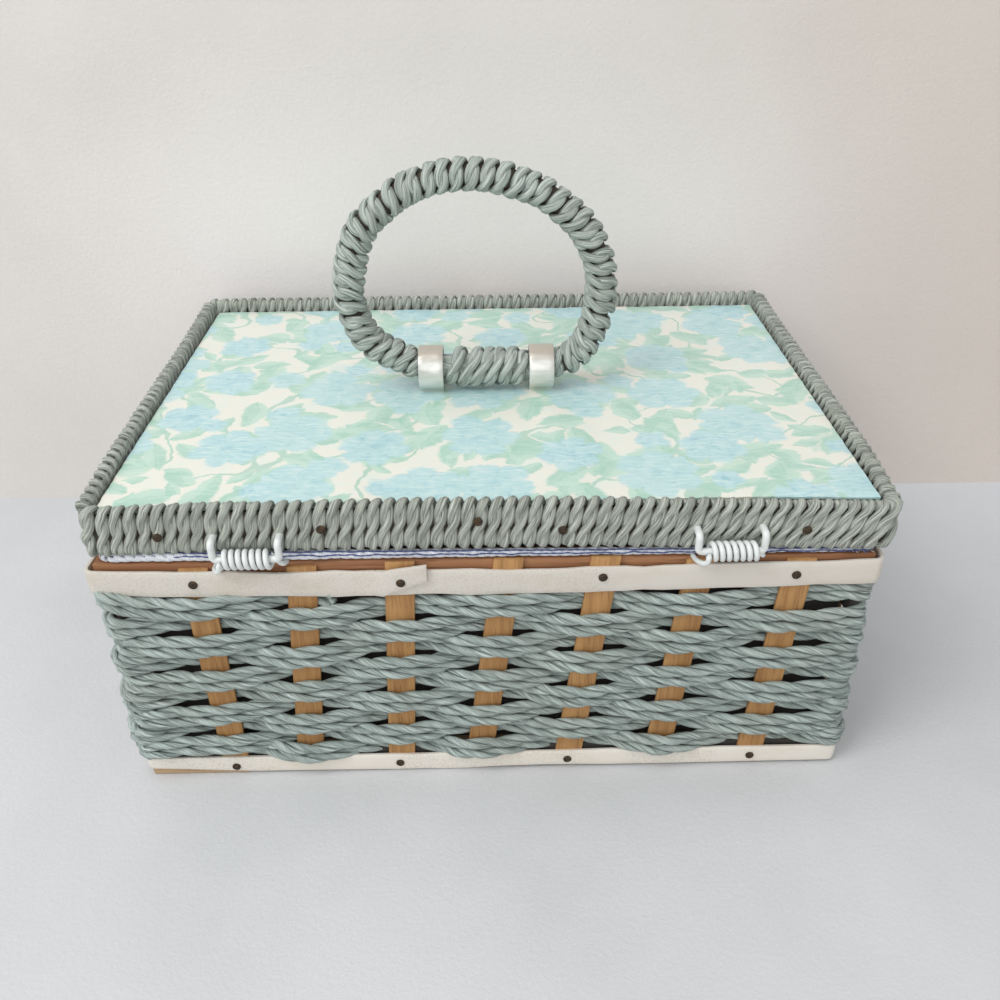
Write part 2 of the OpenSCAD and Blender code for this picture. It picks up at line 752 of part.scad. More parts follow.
// A strap: over the handle's bar, down through the lid and out along its underside
module strap(x) {
    leg = handle_z - board_z0;
    color("whitesmoke") difference() {
        translate([x - strap_w / 2, 0, handle_z])
            rotate([90, 0, 90])
                linear_extrude(strap_w) {
                    difference() {
                        circle(strap_ro);
                        circle(strap_ri);
                        translate([-strap_ro - 1, -strap_ro - 1]) square([2 * strap_ro + 2, strap_ro + 1]);
                    }
                    for (e = [-1, 1]) {
                        translate([e * (strap_ri + strap_ro) / 2 - strap_t / 2, -leg - strap_t])
                            square([strap_t, leg + strap_t]);
                        translate([e > 0 ? strap_ri : -strap_ro - strap_foot, -leg - strap_t])
                            square([strap_foot + strap_t, strap_t]);
                    }
                }
        for (e = [-1, 1])
            at_strap_tack(x, e) translate([0, 0, -strap_t - 1])
                cylinder(d = nail_d + fit_gap, h = strap_t + 2);
    }
}

module strap_tacks() {
    color("dimgray")
        for (x = [-strap_x, strap_x], e = [-1, 1])
            at_strap_tack(x, e) {
                translate([0, 0, -strap_t]) cylinder(d = nail_d, h = tack_l);
                translate([0, 0, -strap_t - nail_head_h]) cylinder(d = nail_head_d, h = nail_head_h);
            }
}

// A turned knob with a foot, a neck for the loop and a ball
module clasp_knob() {
    color("burlywood")
        translate([0, lid_d / 2, knob_z]) {
            rotate([-90, 0, 0]) {
                translate([0, 0, -border_t]) cylinder(d = stem_d, h = border_t + eps);
                cylinder(d = neck_d + 2 * foot_wall, h = foot_t);
                cylinder(d = neck_d, h = neck_l + ball_sink);
            }
            translate([0, ball_y - lid_d / 2, 0]) sphere(d = knob_d);
        }
}

// The handle's core: a straight bar, two corners, two sides and a round top
module handle_core() {
    color("tan")
        translate([-handle_shift, 0, handle_z]) rotate([90, 0, 0]) {
            translate([-bar_half, 0, 0]) rotate([0, 90, 0]) cylinder(d = core_d, h = 2 * bar_half);
            for (e = [-1, 1]) {
                translate([e * bar_half, handle_corner_r, 0])
                    rotate([0, 0, e > 0 ? 270 : 180])
                        rotate_extrude(angle = 90) translate([handle_corner_r, 0]) circle(d = core_d);
                if (side_h > 0)
                    translate([e * handle_w / 2, handle_corner_r, 0])
                        rotate([-90, 0, 0]) cylinder(d = core_d, h = side_h);
            }
            translate([0, handle_corner_r + side_h, 0])
                rotate_extrude(angle = 180) translate([handle_w / 2, 0]) circle(d = core_d);
        }
}

module handle_winding() color("lightsteelblue") swept(HANDLE_RINGS);

base_board();
long_rail(HINGE_SIDE);  // top_rail_hinge_side
long_rail(CLASP_SIDE);  // top_rail_clasp_side
end_rail(LEFT_SIDE);  // top_rail_left
end_rail(RIGHT_SIDE);  // top_rail_right
stakes(HINGE_SIDE);  // stakes_hinge_side
stakes(CLASP_SIDE);  // stakes_clasp_side
stakes(LEFT_SIDE);  // stakes_left
stakes(RIGHT_SIDE);  // stakes_right
woven_wall();
bottom_strip();
top_strip();
bottom_strip_nails();
top_strip_nails();
rim_braid();
lining_floor();
lining_wall(HINGE_SIDE);  // lining_hinge_side
lining_wall(CLASP_SIDE);  // lining_clasp_side
lining_wall(LEFT_SIDE);  // lining_left
lining_wall(RIGHT_SIDE);  // lining_right
hinge_coil(-hinge_x);  // hinge_coil_left
hinge_coil(hinge_x);  // hinge_coil_right
clasp_plate();
clasp_plate_nails();
lid_hoop();
lid_board();
lid_print();
vinyl_cover();
lid_lining();
lid_nails();
border_winding(HINGE_SIDE, long_loops);  // winding_hinge_side
border_winding(CLASP_SIDE, long_loops);  // winding_clasp_side
border_winding(LEFT_SIDE, end_loops);  // winding_left
border_winding(RIGHT_SIDE, end_loops);  // winding_right
hinge_wire(-hinge_x);  // hinge_wire_left
hinge_wire(hinge_x);  // hinge_wire_right
strap(-strap_x);  // strap_left
strap(strap_x);  // strap_right
strap_tacks();
clasp_knob();
handle_core();
handle_winding();
clasp_loop();
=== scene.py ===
"""Visual model of a woven sewing basket with a hinged lid and a ring handle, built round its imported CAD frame."""

import logging
import math
from collections.abc import Callable, Iterator, Sequence
from contextlib import contextmanager
from dataclasses import dataclass, field
from enum import Enum

import bmesh
import bpy
import numpy as np
from mathutils import Matrix, Vector


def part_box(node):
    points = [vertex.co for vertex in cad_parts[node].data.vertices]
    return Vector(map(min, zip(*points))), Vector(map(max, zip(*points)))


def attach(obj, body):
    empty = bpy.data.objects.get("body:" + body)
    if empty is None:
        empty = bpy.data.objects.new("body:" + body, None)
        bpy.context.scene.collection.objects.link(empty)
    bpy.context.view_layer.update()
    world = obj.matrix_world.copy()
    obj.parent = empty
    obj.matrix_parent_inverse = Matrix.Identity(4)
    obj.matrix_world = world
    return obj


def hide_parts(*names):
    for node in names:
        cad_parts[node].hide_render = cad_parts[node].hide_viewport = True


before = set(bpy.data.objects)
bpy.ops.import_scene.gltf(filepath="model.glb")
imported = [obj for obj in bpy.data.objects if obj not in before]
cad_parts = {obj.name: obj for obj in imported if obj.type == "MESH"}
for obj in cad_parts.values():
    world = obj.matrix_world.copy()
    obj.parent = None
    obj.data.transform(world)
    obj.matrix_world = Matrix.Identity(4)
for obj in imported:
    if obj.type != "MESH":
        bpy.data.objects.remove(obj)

LOG = logging.getLogger("basket")
MM = 0.001
Array = np.ndarray
Rgb = tuple[int, int, int]


class Body(Enum):
    """The moving bodies of the CAD frame."""

    BASKET = "basket"
    LID = "lid"
    HANDLE = "handle"


class Slot(Enum):
    """Names of the record's material slots, one for each kind of finish."""

    CORD = "paper_cord"
    STAKES = "veneer_stakes"
    STRIP = "white_strip"
    BRAID = "blue_white_braid"
    PRINT = "floral_print"
    WIRE = "coated_wire"
    STRAP = "pearl_strap"
    NAIL = "nail_metal"
    CORE = "core_lath"
    RAIL = "rail_wood"
    LINING = "lining"
    BASE = "base_wood"


class Side(Enum):
    """The four sides, each turned from the hinge side by this many quarter turns."""

    HINGE = 0
    RIGHT = 1
    CLASP = 2
    LEFT = 3

    @property
    def label(self) -> str:
        """The side as the CAD nodes name it."""
        return self.name.lower() + ("" if self.is_end else "_side")

    @property
    def is_end(self) -> bool:
        """Whether it is one of the two short ends."""
        return self.value % 2 == 1


# Colour and shader maths


def linear(rgb: Rgb) -> tuple[float, float, float, float]:
    """Turns a colour of the screen, 0 to 255, into a shader's linear colour.

    Args:
        rgb: Red, green and blue.

    Returns:
        The linear colour with full alpha.
    """
    def channel(v: float) -> float:
        """One channel, from 0 to 1."""
        return v / 12.92 if v <= 0.04045 else ((v + 0.055) / 1.055) ** 2.4

    return (*(channel(v / 255) for v in rgb), 1.0)


class Value:
    """A socket of a shader that Python's operators work on."""

    def __init__(self, sheet: "ShaderSheet", socket: bpy.types.NodeSocket) -> None:
        """Wraps one output socket.

        Args:
            sheet: The material's node tree that the socket is in.
            socket: The output socket.
        """
        self.sheet = sheet
        self.socket = socket

    def _math(self, operation: str, *values: "Value | float") -> "Value":
        """Adds a Math node on these values."""
        return self.sheet.node("ShaderNodeMath", {"operation": operation}, dict(enumerate(values)))

    def __add__(self, other: "Value | float") -> "Value":
        """Sum."""
        return self._math("ADD", self, other)

    def __radd__(self, other: float) -> "Value":
        """Sum, from the right."""
        return self._math("ADD", other, self)

    def __sub__(self, other: "Value | float") -> "Value":
        """Difference."""
        return self._math("SUBTRACT", self, other)

    def __rsub__(self, other: float) -> "Value":
        """Difference, from the right."""
        return self._math("SUBTRACT", other, self)

    def __mul__(self, other: "Value | float") -> "Value":
        """Product."""
        return self._math("MULTIPLY", self, other)

    def __rmul__(self, other: float) -> "Value":
        """Product, from the right."""
        return self._math("MULTIPLY", other, self)

    def __truediv__(self, other: "Value | float") -> "Value":
        """Quotient."""
        return self._math("DIVIDE", self, other)

    def __abs__(self) -> "Value":
        """Size without sign."""
        return self._math("ABSOLUTE", self)

    def power(self, exponent: float) -> "Value":
        """The value raised to an exponent."""
        return self._math("POWER", self, exponent)

    def sine(self) -> "Value":
        """Sine."""
        return self._math("SINE", self)

    def cosine(self) -> "Value":
        """Cosine."""
        return self._math("COSINE", self)

    def least(self, other: "Value | float") -> "Value":
        """The smaller of two."""
        return self._math("MINIMUM", self, other)

    def most(self, other: "Value | float") -> "Value":
        """The larger of two."""
        return self._math("MAXIMUM", self, other)

    def rise(self, low: float, high: float) -> "Value":
        """A smooth step from 0 to 1.

        Args:
            low: Where it leaves 0.
            high: Where it reaches 1; below low, the step falls instead.

        Returns:
            The step.
        """
        if low > high:
            return 1 - self.rise(high, low)
        return self.sheet.node(
            "ShaderNodeMapRange", {"interpolation_type": "SMOOTHSTEP"},
            {"Value": self, "From Min": low, "From Max": high})


class ShaderSheet:
    """The node tree of one material, with a Principled shader."""

    def __init__(self, name: str) -> None:
        """Starts an empty material.

        Args:
            name: The material's name.
        """
        self.material = bpy.data.materials.new(name)
        self.material.use_nodes = True
        self.tree = self.material.node_tree
        self.shader = self.tree.nodes["Principled BSDF"]
        self._place: dict[str, Value] = {}

    def put(self, socket: bpy.types.NodeSocket, value: object) -> None:
        """Links or sets an input socket.

        Args:
            socket: The input.
            value: A Value, a colour of the screen, or plain numbers.
        """
        if isinstance(value, Value):
            self.tree.links.new(value.socket, socket)
        elif socket.type == "RGBA":
            socket.default_value = linear(value)
        else:
            socket.default_value = value

    def node(self, kind: str, settings: dict[str, object], inputs: dict[str | int, object],
             output: str | int = 0) -> Value:
        """Adds any node.

        Args:
            kind: The node's type.
            settings: Its settings, set first.
            inputs: Values or links by socket name or number.
            output: The output that is returned.

        Returns:
            That output.
        """
        made = self.tree.nodes.new(kind)
        for key, setting in settings.items():
            setattr(made, key, setting)
        for key, value in inputs.items():
            self.put(made.inputs[key], value)
        return Value(self, made.outputs[output])

    def coords(self, kind: str = "Object") -> Value:
        """The Object or UV coordinates, in metres or as the piece's map has them."""
        if kind not in self._place:
            self._place[kind] = self.node("ShaderNodeTexCoord", {}, {}, kind)
        return self._place[kind]

    def axis(self, vector: Value, name: str) -> Value:
        """One of X, Y and Z of a vector."""
        return self.node("ShaderNodeSeparateXYZ", {}, {0: vector}, name)

    def vector(self, x: Value | float, y: Value | float, z: Value | float = 0.0) -> Value:
        """A vector of three values."""
        return self.node("ShaderNodeCombineXYZ", {}, {0: x, 1: y, 2: z})

    def scaled(self, vector: Value, scale: Sequence[float], move: Sequence[float] = (0, 0, 0)) -> Value:
        """A vector scaled on each axis and moved."""
        return self.node("ShaderNodeMapping", {}, {"Vector": vector, "Scale": tuple(scale), "Location": tuple(move)})

    def noise(self, vector: Value, scale: float | tuple[float, float, float] = 1.0, detail: float = 3.0,
              rough: float = 0.55, warp: float = 0.0) -> Value:
        """Soft noise from 0 to 1; a scale of three numbers stretches it on each axis."""
        if isinstance(scale, tuple):
            vector, scale = self.scaled(vector, scale), 1.0
        return self.node("ShaderNodeTexNoise", {}, {
            "Vector": vector, "Scale": scale, "Detail": detail, "Roughness": rough, "Distortion": warp})

    def mix(self, share: Value | float, low: object, high: object) -> Value:
        """Mixes two colours, each a Value or a colour of the screen."""
        return self.node("ShaderNodeMix", {"data_type": "RGBA"}, {0: share, 6: low, 7: high}, 2)

    def bump(self, height: Value, depth: float, strength: float = 1.0) -> Value:
        """A bumped normal, with the depth in metres."""
        return self.node("ShaderNodeBump", {}, {"Height": height, "Distance": depth, "Strength": strength}, "Normal")

    def done(self, **inputs: object) -> bpy.types.Material:
        """Feeds the Principled shader and hands over the material.

        Args:
            inputs: Values by socket name, with underscores for spaces.

        Returns:
            The material.
        """
        for name, value in inputs.items():
            self.put(self.shader.inputs[name.replace("_", " ")], value)
        return self.material


@dataclass(frozen=True)
class PaperCordFinish:
    """Faded twisted paper cord, creased along its plies."""

    name: str = "paper cord"
    pale: Rgb = (214, 226, 221)
    tone: Rgb = (174, 190, 184)
    deep: Rgb = (90, 103, 98)
    pressed: bool = False
    around: float = 2.6
    crease_depth: float = 0.0005

    def material(self) -> bpy.types.Material:
        """Fibre streaks that follow each ply by its UV map: u in metres along it, v once round it; its creases and the
        grooves between its plies get painted shade.
        """
        s = ShaderSheet(self.name)
        uv = s.coords("UV")
        along = s.axis(uv, "X") * 1000
        round_it = s.axis(uv, "Y") * (2 * math.pi)
        turn = round_it + along * 0.04
        ring = s.vector(turn.cosine() * self.around, turn.sine() * self.around, along * 0.05)
        fibre = s.noise(ring, 1.0, 4.0, 0.6)
        fine = s.noise(ring, (3.6, 3.6, 4.0), 3.0, 0.6)
        crease = abs(s.noise(s.scaled(ring, (1.5, 1.5, 1.0), (7, 3, 1)), 1.0, 2.0, 0.5) - 0.5).rise(0.045, 0.0)
        fade = s.noise(s.coords(), (24, 24, 30), 3.0, 0.6)
        color = s.mix(fibre.rise(0.3, 0.7), self.tone, self.pale)
        color = s.mix(fine.rise(0.62, 0.35) * 0.45, color, self.deep)
        # Painted shade: the creases are darkened in colour as well as bumped in.
        color = s.mix(crease * 0.55, color, self.deep)
        color = s.mix(fade.rise(0.42, 0.75) * 0.3, color, (172, 176, 162))
        # Painted shade in the grooves between the plies: on a free cord the side of each ply that faces the cord's
        # middle, on a pressed cord both edges of each ply.
        side = round_it.cosine()
        painted_groove_shade = abs(side).rise(0.75, 1.0) * 0.3 if self.pressed else (0 - side).rise(0.3, 0.95) * 0.75
        color = s.mix(painted_groove_shade, color, self.deep)
        height = fibre * 0.7 + fine * 0.3 - crease * 0.5
        return s.done(Base_Color=color, Roughness=0.62 + fine * 0.25, Normal=s.bump(height, self.crease_depth),
                      Specular_IOR_Level=0.3)


@dataclass(frozen=True)
class WoodFinish:
    """Plain wood with its grain along one axis, finer where its fineness is more."""

    name: str
    grain: str
    pale: Rgb
    tone: Rgb
    deep: Rgb
    roughness: float = 0.62
    fineness: float = 1.0

    def material(self) -> bpy.types.Material:
        """Long grain, pores and a blotchy tone, on Object coordinates."""
        s = ShaderSheet(self.name)
        across, along = 620 * self.fineness, 26 * self.fineness
        place = s.scaled(s.coords(), [along if axis == self.grain else across for axis in "XYZ"])
        line = s.noise(place, 0.45, 5.0, 0.62, 0.25)
        pore = s.noise(place, 2.2, 3.0, 0.6)
        blotch = s.noise(s.coords(), 34, 3.0, 0.6)
        color = s.mix(line.rise(0.3, 0.7), self.tone, self.pale)
        color = s.mix(pore.rise(0.52, 0.74) * 0.7, color, self.deep)
        color = s.mix(blotch.rise(0.35, 0.75) * 0.42, color, self.tone)
        return s.done(Base_Color=color, Roughness=self.roughness + pore * 0.15,
                      Normal=s.bump(line * 0.6 + pore * 0.5, 0.00018), Specular_IOR_Level=0.35)


@dataclass(frozen=True)
class StripFinish:
    """White vinyl binding, in places with a sparkling grain."""

    name: str = "white binding"
    pale: Rgb = (209, 203, 193)
    tone: Rgb = (190, 177, 156)

    def material(self) -> bpy.types.Material:
        """Satin white with faint soiling along its edges and a grained part."""
        s = ShaderSheet(self.name)
        place = s.coords()
        soil = s.noise(place, (30, 30, 60), 4.0, 0.65)
        grain = s.noise(place, 1500, 2.0, 0.7)
        rubbed = s.noise(s.scaled(place, (16, 16, 4), (3, 1, 0)), 1.0, 1.0, 0.5).rise(0.44, 0.54)
        color = s.mix(soil.rise(0.45, 0.8) * 0.55, self.pale, self.tone)
        color = s.mix(grain.rise(0.45, 0.7) * rubbed * 0.5, color, (184, 178, 168))
        rough = 0.42 + soil * 0.2 + grain * rubbed * 0.15
        return s.done(Base_Color=color, Roughness=rough, Normal=s.bump(grain * rubbed + soil * 0.6, 0.00012),
                      Specular_IOR_Level=0.45)


@dataclass(frozen=True)
class WireFinish:
    """White plastic-coated wire, a little grey where it rubs."""

    name: str = "coated wire"

    def material(self) -> bpy.types.Material:
        """Glossy white with faint grey wear."""
        s = ShaderSheet(self.name)
        wear = s.noise(s.coords(), 420, 4.0, 0.65)
        color = s.mix(wear.rise(0.5, 0.78) * 0.5, (218, 222, 220), (180, 185, 182))
        return s.done(Base_Color=color, Roughness=0.26 + wear * 0.2, Normal=s.bump(wear, 0.00005))


@dataclass(frozen=True)
class StrapFinish:
    """Pearly plastic strap."""

    name: str = "pearl strap"

    def material(self) -> bpy.types.Material:
        """Soft pearl bands across the strap, under a clear coat, with a painted brownish reflection along its top and
        a painted pale grey-green reflection on its legs.
        """
        s = ShaderSheet(self.name)
        place = s.coords()
        pearl = s.noise(place, (90, 200, 260), 2.0, 0.5)
        height = s.axis(place, "Z") * 1000
        color = s.mix(pearl.rise(0.3, 0.7), (202, 203, 196), (226, 226, 220))
        # Painted reflections: brownish along the strap's top, pale grey-green low on its legs.
        color = s.mix(height.rise(139.0, 142.0) * 0.7, color, (186, 172, 156))
        color = s.mix(height.rise(131.0, 127.5) * 0.6, color, (190, 200, 190))
        return s.done(Base_Color=color, Roughness=0.26 + pearl * 0.14, Metallic=0.25 + pearl * 0.3,
                      Normal=s.bump(pearl, 0.0005), Coat_Weight=0.4, Coat_Roughness=0.12)


@dataclass(frozen=True)
class NailFinish:
    """Dark, dull tacks."""

    name: str = "dark tacks"

    def material(self) -> bpy.types.Material:
        """Oxidised steel with brown flecks."""
        s = ShaderSheet(self.name)
        rust = s.noise(s.coords(), 900, 4.0, 0.65)
        color = s.mix(rust.rise(0.4, 0.7), (52, 45, 36), (98, 78, 54))
        return s.done(Base_Color=color, Roughness=0.5 + rust * 0.3, Metallic=0.55, Normal=s.bump(rust, 0.0001))


@dataclass(frozen=True)
class ThreadFinish:
    """Cotton thread of the rim's braid."""

    name: str
    color: Rgb
    shade: Rgb

    def material(self) -> bpy.types.Material:
        """Fine slanting fibres by the strand's UV map."""
        s = ShaderSheet(self.name)
        uv = s.coords("UV")
        along = s.axis(uv, "X") * 1000
        turn = (s.axis(uv, "Y") + along * 0.35) * (2 * math.pi)
        fibre = s.noise(s.vector(turn.cosine() * 2.2, turn.sine() * 2.2, along * 0.4), 1.0, 3.0, 0.6)
        color = s.mix(fibre.rise(0.35, 0.65), self.shade, self.color)
        return s.done(Base_Color=color, Roughness=0.85, Normal=s.bump(fibre, 0.00015), Sheen_Weight=0.2)


@dataclass(frozen=True)
class LiningFinish:
    """Lining card: pale cloth inside the basket, and near black towards the weave as painted shade for the weave's
    gaps.
    """

    name: str = "lining"
    half: tuple[float, float] = (0.1284, 0.0854)

    def material(self) -> bpy.types.Material:
        """A fine plain weave with a stitched diamond quilt, and near-black painted shade outside."""
        s = ShaderSheet(self.name)
        place = s.coords()
        x, y, z = (s.axis(place, a) for a in "XYZ")
        run = x + y
        warp = (run * 5200).sine() * (z * 5200).sine()
        quilt = ((run + z) * 115).sine().power(2).least(((run - z) * 115).sine().power(2)).power(0.5)
        cloth = s.mix(s.noise(place, 60, 3.0).rise(0.3, 0.7), (186, 204, 207), (205, 218, 219))
        cloth = s.mix((1 - quilt).rise(0.75, 1.0) * 0.4, cloth, (150, 172, 178))
        # Painted shade: outside the lining's faces, towards the weave, the card is near black.
        outside = (abs(x) - self.half[0]).most(abs(y) - self.half[1]).rise(0.0, 0.0002)
        board = s.mix(s.noise(place, 300, 3.0), (38, 35, 32), (58, 52, 46))
        return s.done(Base_Color=s.mix(outside, cloth, board), Roughness=0.8,
                      Normal=s.bump(quilt * 0.8 + warp * 0.05, 0.0006), Sheen_Weight=0.15)


@dataclass(frozen=True)
class MetalFinish:
    """Brushed, slightly tarnished metal of the clasp's plate."""

    name: str = "clasp metal"

    def material(self) -> bpy.types.Material:
        """Brush lines along X, with tarnish."""
        s = ShaderSheet(self.name)
        brush = s.noise(s.coords(), (40, 3000, 3000), 3.0, 0.6)
        tarnish = s.noise(s.coords(), 260, 4.0, 0.6)
        color = s.mix(tarnish.rise(0.45, 0.75) * 0.6, (188, 186, 180), (132, 122, 106))
        return s.done(Base_Color=color, Roughness=0.3 + tarnish * 0.25, Metallic=1.0, Normal=s.bump(brush, 0.00004))


@dataclass(frozen=True)
class FloralPrintFinish:
    """Generic floral print on cream cloth, under clear vinyl."""

    name: str = "floral print"
    cream: Rgb = (228, 226, 214)
    mint: Rgb = (184, 214, 197)
    mint_deep: Rgb = (150, 196, 177)
    blue: Rgb = (168, 207, 214)
    blue_deep: Rgb = (132, 185, 200)
    blue_pale: Rgb = (206, 226, 223)

    def _cell(self, s: ShaderSheet, place: Value, size: float, move: tuple[float, float],
              randomness: float) -> tuple[Value, Value, Value, Value]:
        """Scatters motifs, one to a cell.

        Args:
            s: The material.
            place: Places on the cloth in millimetres.
            size: Mean distance of the motifs.
            move: Shift of the scatter.
            randomness: How uneven the scatter is.

        Returns:
            Distance from the motif's centre in millimetres, angle round it, and two random numbers of the motif.
        """
        scaled = s.scaled(place, (1 / size, 1 / size, 0), (*move, 0))
        settings = {"voronoi_dimensions": "2D", "feature": "F1"}
        inputs = {"Vector": scaled, "Scale": 1.0, "Randomness": randomness}
        centre = s.node("ShaderNodeTexVoronoi", settings, inputs, "Position")
        chance = s.node("ShaderNodeTexVoronoi", settings, inputs, "Color")
        arm = s.node("ShaderNodeVectorMath", {"operation": "SUBTRACT"}, {0: scaled, 1: centre})
        dx, dy = s.axis(arm, "X") * size, s.axis(arm, "Y") * size
        one, two = s.axis(chance, "X"), s.axis(chance, "Y")
        angle = s.node("ShaderNodeMath", {"operation": "ARCTAN2"}, {0: dy, 1: dx}) + one * (2 * math.pi)
        return (dx * dx + dy * dy).power(0.5), angle, one, two

    def _blossom(self, s: ShaderSheet, place: Value, size: float, radius: float, move: tuple[float, float],
                 petals: int, share: float) -> tuple[Value, Value, Value]:
        """Draws open blossoms.

        Args:
            s: The material.
            place: Places on the cloth in millimetres.
            size: Mean distance of the blossoms.
            radius: Radius of a blossom.
            move: Shift of the scatter.
            petals: Petals of a blossom.
            share: Share of the cells that hold one.

        Returns:
            Where the blossoms are, their shade from heart to rim, and their random tone.
        """
        far, angle, one, two = self._cell(s, place, size, move, 0.8)
        lobe = abs((angle * (petals / 2)).sine())
        rim = lobe.power(0.45) * (0.3 * radius) + 0.7 * radius
        rim = rim * (two * 0.35 + 0.75)
        ragged = s.noise(place, (0.4, 1.1, 1), 3.0, 0.6) * (0.22 * radius)
        there = (rim - far - ragged * 1.6 + 0.18 * radius).rise(-1.0, 1.6) * one.rise(share + 0.01, share - 0.01)
        # An inner ring of petals, turned half a petal, and the fold between them
        inner = abs((angle * (petals / 2) + math.pi / 2).sine()).power(0.45) * (0.2 * radius) + 0.34 * radius
        fold = abs(far - inner).rise(0.14 * radius, 0.0) * 0.3 + abs(far - rim * 0.97).rise(0.1 * radius, 0.0) * 0.2
        heart = far.rise(0.3 * radius, 0.05 * radius) * 0.5
        vein = s.noise(s.vector((angle * 3.0).cosine() * 2.4, (angle * 3.0).sine() * 2.4, far * 0.2), 1.6, 3.0)
        shade = 0.8 + vein * 0.5 - fold - heart - lobe.rise(0.3, 0.0) * 0.35
        return there, shade, two

    def _leaf(self, s: ShaderSheet, place: Value, size: float, length: float, width: float,
              move: tuple[float, float], share: float) -> tuple[Value, Value]:
        """Draws pointed leaves.

        Args:
            s: The material.
            place: Places on the cloth in millimetres.
            size: Mean distance of the leaves.
            length: Half the length of a leaf.
            width: Half its width.
            move: Shift of the scatter.
            share: Share of the cells that hold one.

        Returns:
            Where the leaves are, and their shade.
        """
        far, angle, one, two = self._cell(s, place, size, move, 0.95)
        u, v = far * angle.cosine() / length, far * angle.sine() / width
        bent = v + u * u * (two - 0.5)
        body = 1 - u * u - abs(bent) + (s.noise(place, (0.5, 1.2, 1), 3.0, 0.6) - 0.5) * 0.4
        there = body.rise(-0.12, 0.22) * two.rise(share + 0.01, share - 0.01)
        rib = abs(bent).rise(0.09, 0.02) * 0.5
        return there, bent.rise(-0.9, 0.9) + rib

    def material(self) -> bpy.types.Material:
        """Blossoms over leaves over stems on cream, with watery edges, as one glossy sheet."""
        s = ShaderSheet(self.name)
        place = s.scaled(s.coords(), (1000, 1000, 0))
        drift = s.noise(place, 0.09, 3.0, 0.6)
        drift_y = s.noise(s.scaled(place, (1, 1, 1), (31, 17, 0)), 0.09, 3.0, 0.6)
        place = s.vector(s.axis(place, "X") + (drift - 0.5) * 7, s.axis(place, "Y") + (drift_y - 0.5) * 7)
        wash = s.noise(place, 0.16, 4.0, 0.65)
        brush = s.noise(place, (0.12, 0.75, 1), 4.0, 0.65)
        color = s.mix(wash.rise(0.42, 0.7) * 0.55, self.cream, (214, 228, 218))
        stem = abs(s.noise(s.scaled(place, (1, 1, 1), (5, 9, 0)), 0.026, 1.0, 0.4) - 0.5).rise(0.011, 0.006)
        color = s.mix(stem * 0.7, color, self.mint_deep)
        for size, length, width, move, share in ((17, 10.0, 4.4, (3.1, 7.7), 0.82), (20, 11.5, 5.6, (9.4, 2.3), 0.8),
                                                 (13, 6.5, 2.8, (5.2, 5.5), 0.5)):
            there, shade = self._leaf(s, place, size, length, width, move, share)
            leaf = s.mix(shade.rise(0.1, 1.0) * 0.7 + wash * 0.8 - 0.4, self.mint, self.mint_deep)
            leaf = s.mix(brush.rise(0.45, 0.75) * 0.6, leaf, (206, 225, 212))
            color = s.mix(there * 0.9, color, leaf)
        for size, radius, move, petals, share in ((24, 7.5, (1.7, 4.4), 5, 0.5), (36, 15.0, (6.3, 8.8), 6, 0.86)):
            there, shade, chance = self._blossom(s, place, size, radius, move, petals, share)
            petal = s.mix(shade.rise(0.3, 1.05), self.blue_deep, self.blue)
            petal = s.mix(wash.rise(0.45, 0.7) * 0.5, petal, self.blue_pale)
            petal = s.mix(chance * 0.35, petal, (184, 214, 206))
            petal = s.mix(brush.rise(0.42, 0.68) * 0.8, petal, self.blue_pale)
            color = s.mix(there * 0.94, color, petal)
        slub = s.noise(s.coords(), (90, 1500, 1), 2.0, 0.5)
        color = s.mix(slub.rise(0.5, 0.8) * 0.16, color, (226, 238, 232))
        pucker = s.noise(s.coords(), (28, 60, 1), 3.0, 0.5)
        return s.done(Base_Color=color, Roughness=0.5, Normal=s.bump(pucker + slub * 0.05, 0.0004, 0.5),
                      Coat_Weight=0.55, Coat_Roughness=0.16)


# Tools of the bench


